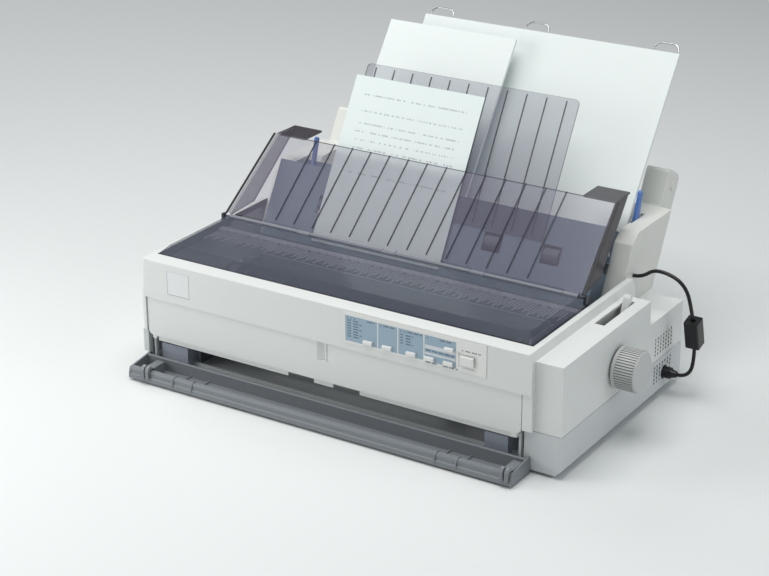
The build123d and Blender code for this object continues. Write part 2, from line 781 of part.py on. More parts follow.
with BuildPart() as carriage_rods:
    rod_across(frame_inner_left, frame_right, rod_back, rod_height, rod_radius)
    rod_across(frame_inner_left, frame_right, stay_back, stay_height, stay_radius)
    cuboid((frame_inner_left, rail_front, rail_bottom),
           (frame_right, rail_front + rail_depth, carriage_plate_height - 0.3))
    cuboid((frame_inner_left - 1, rail_front + 2, rail_bottom - 1),
           (frame_right + 1, rail_front + rail_depth + 1, carriage_plate_height - 2.3), mode=Mode.SUBTRACT)
finish(carriage_rods, "carriage_rods")

roller_left = 68.0
roller_right = 502.0
bush_length = 5.5
with BuildPart() as shaft_bearings:
    for bush_left in (frame_left - 1.5, frame_right - 1.5):
        rod_across(bush_left, bush_left + bush_length, platen_back, platen_height, bush_radius)
        rod_across(bush_left - 1, bush_left + bush_length + 1, platen_back, platen_height,
                   shaft_radius + running_clearance, mode=Mode.SUBTRACT)
finish(shaft_bearings, "shaft_bearings")

with BuildPart() as platen_roller:
    rod_across(roller_left, roller_right, platen_back, platen_height, platen_radius)
    rod_across(roller_left - 1, roller_right + 1, platen_back, platen_height, shaft_radius,
               mode=Mode.SUBTRACT)
finish(platen_roller, "platen_roller")

knob_bore_depth = 20.0
with BuildPart() as platen_shaft:
    rod_across(gear_left - 1, knob_base + knob_bore_depth, platen_back, platen_height, shaft_radius)
    spur_wheel(platen_back, platen_height, platen_teeth, shaft_radius, platen_phase, gear_left, gear_width)
finish(platen_shaft, "platen_shaft")

with BuildPart() as platen_knob:
    rod_across(knob_base, knob_base + knob_length, platen_back, platen_height, knob_radius)
    chamfer(platen_knob.faces().sort_by(Axis.X)[-1].edges(), 2.0)
    knob_plane = Plane(origin=(across(knob_base), back(platen_back), platen_height), x_dir=(0, 1, 0),
                       z_dir=(1, 0, 0))
    with BuildSketch(knob_plane.offset(4.0)) as grooves:
        with PolarLocations(knob_radius, knob_ribs):
            Rectangle(2 * knob_rib_depth, 1.3)
    extrude(grooves.sketch, amount=knob_length, mode=Mode.SUBTRACT)
    rod_across(knob_base - 1, knob_base + knob_bore_depth, platen_back, platen_height, shaft_radius,
               mode=Mode.SUBTRACT)
finish(platen_knob, "platen_knob")

with BuildPart() as feed_idler_gear:
    spur_wheel(idler_back, idler_height, idler_teeth, stud_radius + running_clearance, idler_phase, gear_left,
               gear_width)
finish(feed_idler_gear, "feed_idler_gear")

with BuildPart() as motor_pinion:
    rod_across(motor_flange_left - 20, gear_right + 1, pinion_back, pinion_height, motor_shaft_radius)
    spur_wheel(pinion_back, pinion_height, pinion_teeth, motor_shaft_radius, pinion_phase, gear_left,
               gear_width)
finish(motor_pinion, "motor_pinion")

motor_top = belt_height - 6.0
with BuildPart() as motors:
    with Locations((across(drive_pulley_place), back(belt_back), (floor_top + motor_top) / 2)):
        Cylinder(motor_radius, motor_top - floor_top)
    fillet(motors.faces().sort_by(Axis.Z)[-1].edges(), 3.0)
    with Locations((across(drive_pulley_place), back(belt_back), motor_top - 7)):
        Cylinder(motor_shaft_radius + running_clearance, 16, mode=Mode.SUBTRACT)
    rod_across(16, motor_flange_left, pinion_back, pinion_height, motor_radius)
    side_form([(152, 36), (206, 36), (206, 98), (178, 98), (162, 76)], motor_flange_left,
              motor_flange_left + flange_thick)
    for standoff_back, standoff_height in standoff_places:
        rod_across(motor_flange_left, frame_left, standoff_back, standoff_height, 3.0)
    rod_across(motor_flange_left - 21, frame_left, pinion_back, pinion_height,
               motor_shaft_radius + running_clearance, mode=Mode.SUBTRACT)
finish(motors, "motors")

tractor_shaft_end = frame_outer_right + 0.5
with BuildPart() as tractor_shaft:
    rod_across(gear_left - 1, tractor_shaft_end, tractor_back, tractor_height, tractor_shaft_radius)
    spur_wheel(tractor_back, tractor_height, tractor_teeth, tractor_shaft_radius, tractor_phase, gear_left,
               gear_width)
finish(tractor_shaft, "tractor_shaft")

tractor_front = tractor_back - tractor_length / 2
tractor_bottom = 24.0
pin_pitch = 12.7
for name, place in (("tractor_left", tractor_left_place), ("tractor_right", tractor_right_place)):
    with BuildPart() as tractor:
        cuboid((place, tractor_front, tractor_bottom),
               (place + tractor_width, tractor_front + tractor_length, tractor_bottom + tractor_thick))
        fillet(tractor.edges().filter_by(Axis.X), 10.0)
        # lid over the pins, raised a little, and the groove that the pins run in
        cuboid((place + 9, tractor_front + 4, tractor_bottom + tractor_thick - 2),
               (place + 15, tractor_front + tractor_length - 4, tractor_bottom + tractor_thick + 1),
               mode=Mode.SUBTRACT)
        for pin in range(3):
            pin_back = tractor_back + (pin - 1) * pin_pitch
            with Locations((across(place + 12), back(pin_back), tractor_bottom + tractor_thick - 1)):
                Cylinder(1.8, 4)
        rod_across(place - 1, place + tractor_width + 1, tractor_back, tractor_height,
                   tractor_shaft_radius + running_clearance, mode=Mode.SUBTRACT)
        rod_across(place - 1, place + tractor_width + 1, stay_back, stay_height,
                   stay_radius + running_clearance, mode=Mode.SUBTRACT)
    finish(tractor, name)

# ---------------------------------------------------------------- carriage, head, belt and ribbon
carriage_right = carriage_left + carriage_width
carriage_middle = carriage_left + carriage_width / 2
sleeve_radius = 9.0
belt_gap = 0.3
belt_outer = pulley_radius + belt_thickness
clamp_back = belt_back + pulley_radius
plate_top = carriage_plate_height + carriage_plate_thick

with BuildPart() as carriage:
    cuboid((carriage_left, rail_front, carriage_plate_height), (carriage_right, rod_back + 11, plate_top))
    fillet(carriage.edges().filter_by(Axis.Z), 4.0)
    rod_across(carriage_left, carriage_right, rod_back, rod_height, sleeve_radius)
    rod_across(carriage_left - 1, carriage_right + 1, rod_back, rod_height, rod_radius + running_clearance,
               mode=Mode.SUBTRACT)
    cuboid((carriage_middle - 10, clamp_back - 2.2, belt_height - 1.5),
           (carriage_middle + 10, clamp_back + belt_thickness + 2.2, carriage_plate_height + 1))
    cuboid((carriage_middle - 11, clamp_back - belt_gap, belt_height - belt_gap),
           (carriage_middle + 11, clamp_back + belt_thickness + belt_gap,
            belt_height + belt_width + belt_gap), mode=Mode.SUBTRACT)
finish(carriage, "carriage")

head_half = 16.0
head_front = 84.0
head_back = 122.0
head_top = 112.0
nose_half = 4.0
nose_face = platen_back - platen_radius - head_gap
with BuildPart() as print_head:
    cuboid((carriage_middle - head_half, head_front, plate_top),
           (carriage_middle + head_half, head_back, head_top))
    fillet(print_head.edges().filter_by(Axis.Z), 3.0)
    for number in range(7):
        fin_bottom = plate_top + 5 + number * 4.6
        cuboid((carriage_middle - head_half - 1, head_front - 1, fin_bottom),
               (carriage_middle + head_half + 1, head_back - 10, fin_bottom + 2.2), mode=Mode.SUBTRACT)
    cuboid((carriage_middle - 9, head_front + 9, plate_top + 1),
           (carriage_middle + 9, head_back - 8, head_top - 2))
    side_form([(head_back - 2, plate_top + 5), (nose_face, platen_height - 4), (nose_face, platen_height + 6),
               (head_back - 2, head_top - 6)], carriage_middle - nose_half, carriage_middle + nose_half)
finish(print_head, "print_head")

with BuildPart() as carriage_belt:
    with BuildSketch(Plane.XY.offset(belt_height)) as loop:
        with Locations((across((idler_pulley_place + drive_pulley_place) / 2), back(belt_back))):
            SlotCenterToCenter(drive_pulley_place - idler_pulley_place, 2 * belt_outer)
            SlotCenterToCenter(drive_pulley_place - idler_pulley_place, 2 * pulley_radius, mode=Mode.SUBTRACT)
    extrude(loop.sketch, amount=belt_width)
finish(carriage_belt, "carriage_belt")


def pulley_form(place):
    """A flanged pulley for the carriage belt."""
    with Locations((across(place), back(belt_back), belt_height + belt_width / 2)):
        Cylinder(pulley_radius - running_clearance, belt_width + 2)
    with Locations((across(place), back(belt_back), belt_height - 0.8),
                   (across(place), back(belt_back), belt_height + belt_width + 0.8)):
        Cylinder(belt_outer + 1, 1.0)


with BuildPart() as idler_pulley:
    pulley_form(idler_pulley_place)
    with Locations((across(idler_pulley_place), back(belt_back), belt_height + belt_width / 2)):
        Cylinder(idler_pin_radius + running_clearance, belt_width + 6, mode=Mode.SUBTRACT)
finish(idler_pulley, "idler_pulley")

with BuildPart() as drive_pulley:
    pulley_form(drive_pulley_place)
    with Locations((across(drive_pulley_place), back(belt_back), belt_height - 6)):
        Cylinder(motor_shaft_radius, 28)
finish(drive_pulley, "drive_pulley")

cartridge_front = 30.0
cartridge_back = 56.0
cartridge_bottom = 96.0
cartridge_top = 124.0
arm_width = 8.0
ribbon_back = platen_back - platen_radius - 0.9
with BuildPart() as ribbon_cartridge:
    cuboid((cartridge_left, cartridge_front, cartridge_bottom),
           (cartridge_right, cartridge_back, cartridge_top))
    fillet(ribbon_cartridge.edges().filter_by(Axis.Z), 5.0)
    fillet(ribbon_cartridge.faces().sort_by(Axis.Z)[-1].edges(), 2.0)
    for arm_left in (cartridge_left - 4, cartridge_right - 4):
        cuboid((arm_left, cartridge_back - 12, cartridge_bottom + 2),
               (arm_left + arm_width, ribbon_back + 0.6, cartridge_bottom + 14))
    cuboid((cartridge_left + 3, ribbon_back - 0.2, cartridge_bottom + 2),
           (cartridge_right - 3, ribbon_back + 0.2, cartridge_bottom + 12))
    # turning knob of the ribbon
    with Locations((across(cartridge_left + 30), back((cartridge_front + cartridge_back) / 2),
                    cartridge_top + 2)):
        Cylinder(7.0, 5)
finish(ribbon_cartridge, "ribbon_cartridge")

# ---------------------------------------------------------------- paper guides inside the case
guide_inner = 23.0
guide_outer = 25.0
guide_block_places = [(18.8, 61.0), (505.0, 537.0)]
block_height = 36.0
with BuildPart() as paper_guides:
    rod_across(frame_inner_left, frame_right, platen_back, platen_height, guide_outer)
    rod_across(frame_inner_left - 1, frame_right + 1, platen_back, platen_height, guide_inner,
               mode=Mode.SUBTRACT)
    cuboid((frame_inner_left - 1, platen_back - 30, 80), (frame_right + 1, platen_back + 22.5, 125),
           mode=Mode.SUBTRACT)
    cuboid((frame_inner_left, platen_back + 22.5, 86), (frame_right, platen_back + 24.5, 118))
    for block_left, block_right in guide_block_places:
        side_form([(15, floor_top), (sill_setback - wall, floor_top), (sill_setback - wall, sill_height),
                   (sill_setback, sill_height), (sill_setback, floor_top), (40, floor_top),
                   (40, block_height - 6), (34, block_height), (15, block_height)], block_left, block_right)
finish(paper_guides, "paper_guides")

comb_front = 146.0
comb_back = 157.0
comb_top = 151.5
comb_fingers = 44
comb_left = opening_left + ledge_width
comb_right = opening_right - ledge_width
with BuildPart() as comb_bar:
    cuboid((comb_left, comb_front, comb_top - 4), (comb_right, comb_front + 2, comb_top))
    cuboid((comb_left, comb_front, comb_top - 2), (comb_right, comb_back, comb_top))
    finger_pitch = (comb_right - comb_left) / comb_fingers
    for number in range(comb_fingers):
        finger_left = comb_left + (number + 0.2) * finger_pitch
        cuboid((finger_left, comb_front, comb_top - 11),
               (finger_left + finger_pitch * 0.6, comb_front + 2, comb_top - 4))
finish(comb_bar, "comb_bar")

# ---------------------------------------------------------------- boards, supply and sockets
board_left = 300.0
board_front = 235.0
with BuildPart() as main_board:
    cuboid((board_left, board_front, floor_top + 7), (board_left + 200, board_front + 86, floor_top + 8.6))
    with Locations(*[(across(board_left + x), back(board_front + y), floor_top + 3.5)
                     for x in (8, 192) for y in (8, 78)]):
        Cylinder(3.0, 7)
    for chip_left, chip_front, chip_width, chip_depth, chip_high in (
            (20, 20, 44, 14, 4), (20, 46, 34, 14, 4), (84, 20, 30, 30, 3), (130, 16, 12, 54, 9),
            (160, 20, 26, 40, 22), (84, 62, 34, 9, 8)):
        cuboid((board_left + chip_left, board_front + chip_front, floor_top + 8.6),
               (board_left + chip_left + chip_width, board_front + chip_front + chip_depth,
                floor_top + 8.6 + chip_high))
finish(main_board, "main_board")

supply_left = 100.0
supply_front = 236.0
with BuildPart() as power_supply:
    cuboid((supply_left, supply_front, floor_top), (supply_left + 140, supply_front + 82, floor_top + 1.6))
    cuboid((supply_left, supply_front, floor_top), (supply_left + 1.6, supply_front + 82, floor_top + 44))
    cuboid((supply_left + 138.4, supply_front, floor_top),
           (supply_left + 140, supply_front + 82, floor_top + 44))
    cuboid((supply_left + 12, supply_front + 12, floor_top + 1.6),
           (supply_left + 66, supply_front + 70, floor_top + 46))
    cuboid((supply_left + 22, supply_front + 4, floor_top + 8),
           (supply_left + 56, supply_front + 78, floor_top + 38))
    with Locations((across(supply_left + 90), back(supply_front + 24), floor_top + 17),
                   (across(supply_left + 118), back(supply_front + 24), floor_top + 17)):
        Cylinder(11.0, 31)
    for fin in range(6):
        cuboid((supply_left + 78 + fin * 9, supply_front + 50, floor_top + 1.6),
               (supply_left + 80 + fin * 9, supply_front + 74, floor_top + 30))
finish(power_supply, "power_supply")

socket_depth = 20.0
socket_face = case_depth + 0.8
shell_radius = 6.0
shell_depth = 6.0
with BuildPart() as sockets:
    cuboid((inlet_left, case_depth - socket_depth, inlet_bottom),
           (inlet_left + inlet_width, case_depth, inlet_bottom + inlet_height))
    cuboid((inlet_left - 2, case_depth, inlet_bottom - 2),
           (inlet_left + inlet_width + 2, socket_face, inlet_bottom + inlet_height + 2))
    cuboid((inlet_left + 2.5, case_depth - socket_depth + 3, inlet_bottom + 3),
           (inlet_left + inlet_width - 2.5, socket_face + 1, inlet_bottom + inlet_height - 3),
           mode=Mode.SUBTRACT)
    for pin_left in (6, 13, 20):
        cuboid((inlet_left + pin_left, case_depth - socket_depth + 2, inlet_bottom + 9),
               (inlet_left + pin_left + 2, case_depth - 3, inlet_bottom + 13))
    cuboid((data_left, case_depth - 14, inlet_bottom),
           (data_left + data_width, case_depth, inlet_bottom + data_height))
    cuboid((data_left - 2, case_depth, inlet_bottom - 2),
           (data_left + data_width + 2, socket_face, inlet_bottom + data_height + 2))
    cuboid((data_left + 6, case_depth - 11, inlet_bottom + 3),
           (data_left + data_width - 6, socket_face + 1, inlet_bottom + data_height - 3), mode=Mode.SUBTRACT)
    cuboid((data_left + 10, case_depth - 12, inlet_bottom + 6),
           (data_left + data_width - 10, case_depth - 2, inlet_bottom + data_height - 6))
    rod_across(case_width - 11, case_width, plug_back, plug_height, socket_radius)
    rod_across(case_width - shell_depth - 1, case_width + 1, plug_back, plug_height, shell_radius + 0.1,
               mode=Mode.SUBTRACT)
finish(sockets, "sockets")

# ---------------------------------------------------------------- paper-release lever
lever_left = slot_left + (slot_width - release_thick) / 2
lever_tilt = 90 - release_lean
lever_reach_back = math.cos(math.radians(lever_tilt))
lever_reach_up = math.sin(math.radians(lever_tilt))


def lever_point(along, aside):
    """A place on the lever, given along its arm and in front of it."""
    return (release_pivot_back + along * lever_reach_back - aside * lever_reach_up,
            release_pivot_height + along * lever_reach_up + aside * lever_reach_back)


with BuildPart() as paper_release_lever:
    rod_across(lever_left, lever_left + release_thick, release_pivot_back, release_pivot_height, 9.0)
    side_form([lever_point(0, -6), lever_point(release_length - 4, -4), lever_point(release_length, -2),
               lever_point(release_length, 3), lever_point(release_length - 4, 5), lever_point(0, 6)],
              lever_left, lever_left + release_thick)
    rod_across(lever_left - 1, lever_left + release_thick + 1, release_pivot_back, release_pivot_height,
               release_pin_radius + running_clearance, mode=Mode.SUBTRACT)
    fillet(paper_release_lever.faces().sort_by(Axis.Z)[-1].edges().filter_by(Axis.X), 1.0)
finish(paper_release_lever, "paper_release_lever")

# ---------------------------------------------------------------- front paper tray
tray_right = tray_left + tray_width
tray_front = -38.4
ledge_height = 18.0
rear_bar_height = 22.5
tray_top = tray_floor + tray_wall
tray_rib_thick = 2.2
tray_rib_places = [75.0, 105.0, 466.0, 495.4]
with BuildPart() as paper_tray:
    side_form([(tray_front, tray_floor), (tray_front, 9.0), (-36.6, 10.4), (-36.6, 15.5),
               (-35.4, ledge_height), (-29.5, ledge_height), (-28.6, 16.4), (-28.6, 10.4), (-27.2, 9.0),
               (-27.2, tray_top), (-1.2, tray_top), (-1.2, rear_bar_height - 1),
               (0.0, rear_bar_height), (2.0, rear_bar_height), (2.0, tray_top),
               (housing_setback, tray_top), (housing_setback, tray_floor)], tray_left, tray_right)
    cuboid((tray_left - 1, -35.9, tray_top), (tray_right + 1, -31.1, ledge_height - tray_wall),
           mode=Mode.SUBTRACT)
    for end_left in (tray_left, tray_right - tray_wall):
        side_form([(tray_front, tray_floor), (tray_front, 9.0), (-36.6, 15.5), (-33.0, ledge_height),
                   (0.0, rear_bar_height), (housing_setback, rear_bar_height), (housing_setback, tray_floor)],
                  end_left, end_left + tray_wall)
    for rib in tray_rib_places:
        side_form([(tray_front, tray_floor), (tray_front - 1.2, 9.0), (-37.6, 16.6),
                   (-34.6, ledge_height + 1.4), (-29.0, ledge_height + 1.2), (-24.0, 12.0),
                   (-18.0, tray_top + 2), (-1.2, tray_top + 2), (-1.2, tray_floor)],
                  rib, rib + tray_rib_thick)
finish(paper_tray, "paper_tray")

# sliding guides that hook over the tray's front ledge
guide_gap = 0.3
guide_low = tray_top + guide_gap + 2.2
for name, guide_left in (("tray_guide_left", tray_left + 22.0),
                         ("tray_guide_right", tray_right - tray_wall - tray_guide_width - guide_gap)):
    with BuildPart() as tray_guide:
        side_form([(-tray_reach, 8.0), (-tray_reach, 20.0), (-38.6, 24.0), (-34.0, 25.5), (-31.0, 22.0),
                   (-28.0, 20.6), (-6.0, 20.6), (-6.0, guide_low), (-24.0, guide_low), (-27.4, 12.5),
                   (-27.8, ledge_height + 1.8), (-36.0, ledge_height + 1.8), (-38.2, 14.0), (-39.2, 8.0)],
                  guide_left, guide_left + tray_guide_width)
        # slot between the two lobes of the hook
        cuboid((guide_left + 5.0, -tray_reach - 1, 7.0), (guide_left + 7.0, -30.0, 26.0), mode=Mode.SUBTRACT)
    finish(tray_guide, name)

# ---------------------------------------------------------------- sheet feeder


def bin_place(along, ahead, foot_back=bin_foot_back, foot_height=bin_foot_height):
    """A place in the slanted frame of the sheet bins: along the sheets and in front of them."""
    return (foot_back + along * slope_run - ahead * slope_rise,
            foot_height + along * slope_rise + ahead * slope_run)


def stack_place(down, ahead):
    """A place in the slanted frame of the stacker: down from its top and in front of it."""
    angle = math.radians(stack_angle)
    return (stacker_top_back - down * math.cos(angle) - ahead * math.sin(angle),
            stacker_top_height - down * math.sin(angle) + ahead * math.cos(angle))


def bin_slab(low_along, high_along, low_ahead, high_ahead, left, right, mode=Mode.ADD):
    """A flat slab that lies in the slanted frame of the sheet bins."""
    side_form([bin_place(low_along, low_ahead), bin_place(high_along, low_ahead),
               bin_place(high_along, high_ahead), bin_place(low_along, high_ahead)], left, right, mode)


def stack_slab(low_down, high_down, low_ahead, high_ahead, left, right, mode=Mode.ADD):
    """A flat slab that lies in the slanted frame of the stacker."""
    side_form([stack_place(low_down, low_ahead), stack_place(high_down, low_ahead),
               stack_place(high_down, high_ahead), stack_place(low_down, high_ahead)], left, right, mode)


def inset_form(points, left, right, shell):
    """The hollow of a side form, one shell inside it all round."""
    with BuildSketch(Plane.YZ.offset(across(left + shell))) as outline:
        with BuildLine():
            Polyline(*[(back(y), z) for y, z in points], close=True)
        make_face()
        offset(amount=-shell, kind=Kind.INTERSECTION)
    extrude(outline.sketch, amount=right - left - 2 * shell, mode=Mode.SUBTRACT)


inner_left = feeder_left_face + feeder_wall
inner_right = feeder_right_face - feeder_wall
wide_behind = 6.5
feeder_rear = feeder_front_foot + feeder_depth
rear_top_back = rear_foot_back + (feeder_height - rear_foot_height) * rear_wall_lean
bin_post_back = rear_top_back + bin_post_step
side_profile = [(feeder_front_foot, deck_height), (262, 150), (284, feeder_nose_height),
                (301.4, feeder_height), (rear_top_back, feeder_height), (rear_foot_back, rear_foot_height),
                (feeder_rear, deck_height)]
wide_low_along = (deck_height - bin_foot_height + wide_behind * slope_run) / slope_rise
wide_high_along = (feeder_height - bin_foot_height + wide_behind * slope_run) / slope_rise
wide_profile = [bin_place(wide_low_along, -wide_behind), bin_place(wide_high_along, -wide_behind),
                (rear_top_back, feeder_height), (rear_foot_back, rear_foot_height),
                (feeder_rear, deck_height)]


def post_place(along, behind):
    """A place on the sheet post, along it from the housing's top and behind its front face."""
    lean = math.radians(bin_post_angle)
    return (bin_post_back + along * math.cos(lean) + behind * math.sin(lean),
            feeder_height + along * math.sin(lean) - behind * math.cos(lean))


post_profile = [(372, 160), (397, 202), post_place(0, 0), post_place(bin_post_rise, 0),
                post_place(bin_post_rise, bin_post_depth), post_place(-bin_post_tail / 2, bin_post_depth),
                post_place(-bin_post_tail, bin_post_depth / 2)]
rear_shaft_back, rear_shaft_height = bin_place(rear_roller_along,
                                               stack_thick + feed_roller_radius + roller_gap)
front_shaft_back, front_shaft_height = bin_place(front_roller_along,
                                                 bin_pitch + stack_thick + feed_roller_radius + roller_gap)
eject_radius = 9.0
eject_down = 200.0
sheet_ahead = stacker_rib_height
eject_back, eject_height = stack_place(eject_down, sheet_ahead - eject_radius - roller_gap)
shaft_places = [(rear_shaft_back, rear_shaft_height), (front_shaft_back, front_shaft_height)]
journal = 2.4
lever_thick = 4.4
blue_right_left = 533.6
blue_left_left = 55.0
blue_right_pivot = (334.5, feeder_height - 15.3)
blue_left_pivot = (302.3, feeder_height - 25.8)
blue_pin_radius = 2.0
wide_left_edge = 59.0
post_top_round = 6.0
post_back_round = 11.0
post_cap_along = bin_post_rise * 0.66
post_cap_behind = bin_post_depth * 0.62


def housing(narrow_left, narrow_right, wide_left, wide_right, post_left, cap_side):
    """One side housing of the feeder: narrow in front, wide behind the sheets, with a post on it."""
    side_form(post_profile, post_left, post_left + bin_post_width)
    fillet(edges().filter_by(Axis.X).sort_by(Axis.Z)[-1], post_top_round)
    fillet(edges().filter_by(Axis.X).sort_by(Axis.Y)[-1], post_back_round)
    cap_back, cap_height = post_place(post_cap_along, post_cap_behind)
    rod_across(cap_side - post_cap_proud, cap_side + post_cap_proud, cap_back, cap_height, post_cap_radius)
    side_form(side_profile, narrow_left, narrow_right)
    side_form(wide_profile, wide_left, wide_right)
    inset_form(side_profile, narrow_left, narrow_right, feeder_shell)
    inset_form(wide_profile, wide_left, wide_right, feeder_shell)
    inset_form(post_profile, post_left, post_left + bin_post_width, bin_post_shell)


pocket_gap = 0.4
pocket_reach = 9.0
pocket_step = 10.5
pocket_left = blue_right_left - pocket_gap
pocket_right = blue_right_left + lever_thick + pocket_gap
pocket_front = blue_right_pivot[0] - pocket_reach
pocket_back = 364.0
pocket_bottom = blue_right_pivot[1] - pocket_reach
with BuildPart() as feeder_housing_right:
    housing(inner_right, feeder_right_face, right_post_place, inner_right, right_post_place,
            right_post_place + bin_post_width)
    for shaft_back, shaft_height in shaft_places:
        rod_across(inner_right - 1, inner_right + feeder_shell + 1, shaft_back, shaft_height,
                   feed_shaft_radius + running_clearance, mode=Mode.SUBTRACT)
    # pocket in the inner wall for the blue lever, with walls round it
    cuboid((pocket_right - 1, pocket_front - feeder_shell, pocket_bottom - feeder_shell),
           (pocket_right + feeder_shell, pocket_back + feeder_shell, feeder_height))
    cuboid((pocket_left, pocket_front, pocket_bottom), (pocket_right, pocket_back, feeder_height + 1),
           mode=Mode.SUBTRACT)
    rod_across(pocket_left - feeder_shell, pocket_right + 1, *blue_right_pivot, blue_pin_radius)
    cuboid((pocket_left - feeder_shell, pocket_front + pocket_step, pocket_bottom),
           (pocket_left, pocket_back + 2, feeder_height - 1))
finish(feeder_housing_right, "feeder_housing_right")

with BuildPart() as feeder_housing_left:
    housing(feeder_left_face, inner_left, inner_left, wide_left_edge, left_post_place, left_post_place)
    for shaft_back, shaft_height in shaft_places:
        rod_across(inner_left - feeder_shell - 1, inner_left + 1, shaft_back, shaft_height,
                   feed_shaft_radius + running_clearance, mode=Mode.SUBTRACT)
    rod_across(inner_left - feeder_shell, blue_left_left + lever_thick + 1, *blue_left_pivot, blue_pin_radius)
finish(feeder_housing_left, "feeder_housing_left")

right_lever_form = [(-5.0, 0.0), (5.5, 0.0), (14.0, 15.3), (22.5, 47.0), (19.1, 50.0), (15.5, 48.0),
                    (3.0, 15.3)]
with BuildPart() as bin_lever_right:
    side_form([(blue_right_pivot[0] + y, blue_right_pivot[1] + z) for y, z in right_lever_form],
              blue_right_left, blue_right_left + lever_thick)
    rod_across(blue_right_left, blue_right_left + lever_thick, *blue_right_pivot, 5.0)
    rod_across(blue_right_left - 1, blue_right_left + lever_thick + 1, *blue_right_pivot,
               blue_pin_radius + running_clearance, mode=Mode.SUBTRACT)
finish(bin_lever_right, "bin_lever_right")

left_lever_form = [(-3.8, 2.5), (2.7, -3.0), (15.3, 16.5), (26.3, 53.5), (23.1, 56.5), (20.1, 55.0),
                   (9.2, 18.5)]
with BuildPart() as bin_lever_left:
    side_form([(blue_left_pivot[0] + y, blue_left_pivot[1] + z) for y, z in left_lever_form],
              blue_left_left, blue_left_left + lever_thick)
    rod_across(blue_left_left, blue_left_left + lever_thick, *blue_left_pivot, 4.5)
    rod_across(blue_left_left - 1, blue_left_left + lever_thick + 1, *blue_left_pivot,
               blue_pin_radius + running_clearance, mode=Mode.SUBTRACT)
finish(bin_lever_left, "bin_lever_left")

shaft_sets = [("feed_shaft_rear", shaft_places[0], feed_roller_radius, feed_roller_places[1:]),
              ("feed_shaft_front", shaft_places[1], feed_roller_radius, feed_roller_places[:3]),
              ("eject_shaft", (eject_back, eject_height), eject_radius, feed_roller_places)]
for name, (shaft_back, shaft_height), roller_radius, places in shaft_sets:
    with BuildPart() as roller_shaft:
        rod_across(inner_left - journal, inner_right + journal, shaft_back, shaft_height, feed_shaft_radius)
        for middle in places:
            rod_across(middle - feed_roller_width / 2, middle + feed_roller_width / 2, shaft_back,
                       shaft_height, roller_radius)
    finish(roller_shaft, name)

frame_front = -stacker_thick
frame_rear = frame_front - cross_frame_thick
with BuildPart() as feeder_cross_frame:
    stack_slab(cross_frame_high, cross_frame_low, frame_rear, frame_front, inner_left, inner_right)
    for middle in feed_roller_places:
        stack_slab(eject_down - roller_window_depth / 2, eject_down + roller_window_depth / 2, frame_rear - 1,
                   frame_front + 1, middle - roller_window / 2, middle + roller_window / 2, Mode.SUBTRACT)
    for cheek_left in (inner_left, inner_right - cheek_thick):
        side_form([stack_place(cross_frame_high, frame_front), stack_place(cross_frame_low, frame_front),
                   stack_place(cross_frame_low, -12), stack_place(240, -58), stack_place(206, -60),
                   stack_place(206, -24), stack_place(186, -12), stack_place(166, -8)],
                  cheek_left, cheek_left + cheek_thick)
        rod_across(cheek_left - 1, cheek_left + cheek_thick + 1, eject_back, eject_height,
                   feed_shaft_radius + running_clearance, mode=Mode.SUBTRACT)
finish(feeder_cross_frame, "feeder_cross_frame")

shelf_depth = 5.0
with BuildPart() as bin_plates:
    bin_slab(-2, bin_plate_length, -bin_plate_thick, 0, inner_left, inner_right)
    bin_slab(-2, 0, 0, shelf_depth, inner_left, inner_right)
    bin_slab(-front_sheet_drop - 2, 30, bin_pitch - bin_plate_thick, bin_pitch, inner_left, inner_right)
    bin_slab(-front_sheet_drop - 2, -front_sheet_drop, bin_pitch, bin_pitch + shelf_depth, inner_left,
             inner_right)
finish(bin_plates, "bin_plates")

with BuildPart() as rear_bin_sheets:
    bin_slab(0, rear_sheet_length, 0, stack_thick, rear_sheet_left, rear_sheet_left + rear_sheet_width)
finish(rear_bin_sheets, "rear_bin_sheets")

with BuildPart() as front_bin_sheets:
    bin_slab(-front_sheet_drop, front_sheet_length - front_sheet_drop, bin_pitch, bin_pitch + stack_thick,
             front_sheet_left, front_sheet_left + front_sheet_width)
finish(front_bin_sheets, "front_bin_sheets")

# wire supports behind the rear sheets: narrow hoops in one slanted plane
wire_back, wire_height = bin_place(0, -wire_offset)
wire_plane = Plane(origin=(across(0), back(wire_back), wire_height), x_dir=(1, 0, 0),
                   z_dir=(0, -slope_rise, slope_run))
hoop_round = 9.0
with BuildPart() as wire_supports:
    for place in wire_loop_places:
        half = wire_loop_width / 2 - wire_radius
        with BuildLine(wire_plane) as hoop:
            FilletPolyline((place - half, wire_foot_along), (place - half, wire_top_along),
                           (place + half, wire_top_along), (place + half, wire_foot_along), radius=hoop_round)
        with BuildSketch(Plane(origin=hoop.line @ 0, z_dir=hoop.line % 0)) as wire_section:
            Circle(wire_radius)
        sweep(wire_section.sketch, path=hoop.line)
finish(wire_supports, "wire_supports")

# ---------------------------------------------------------------- stacker and the printed sheet
stacker_round = 6.0
stacker_back, stacker_height = stack_place(stacker_length, -stacker_thick)
stacker_plane = Plane(origin=(across(stacker_left), back(stacker_back), stacker_height), x_dir=(1, 0, 0),
                      z_dir=(0, -math.sin(math.radians(stack_angle)), math.cos(math.radians(stack_angle))))
with BuildPart(stacker_plane) as stacker:
    with BuildSketch(stacker_plane):
        with Locations((stacker_width / 2, stacker_length / 2)):
            Rectangle(stacker_width, stacker_length)
    extrude(amount=stacker_thick)
    upright = [edge for edge in stacker.edges() if abs(edge.length - stacker_thick) < 0.01]
    fillet(ShapeList(upright).sort_by(Axis.Z)[-2:], stacker_round)
    for number in range(stacker_rib_count):
        rib_across = stacker_rib_first + number * stacker_rib_pitch
        with Locations((rib_across, stacker_length / 2, stacker_thick + stacker_rib_height / 2)):
            Box(stacker_rib_width, stacker_length - 8, stacker_rib_height)
finish(stacker, "stacker")

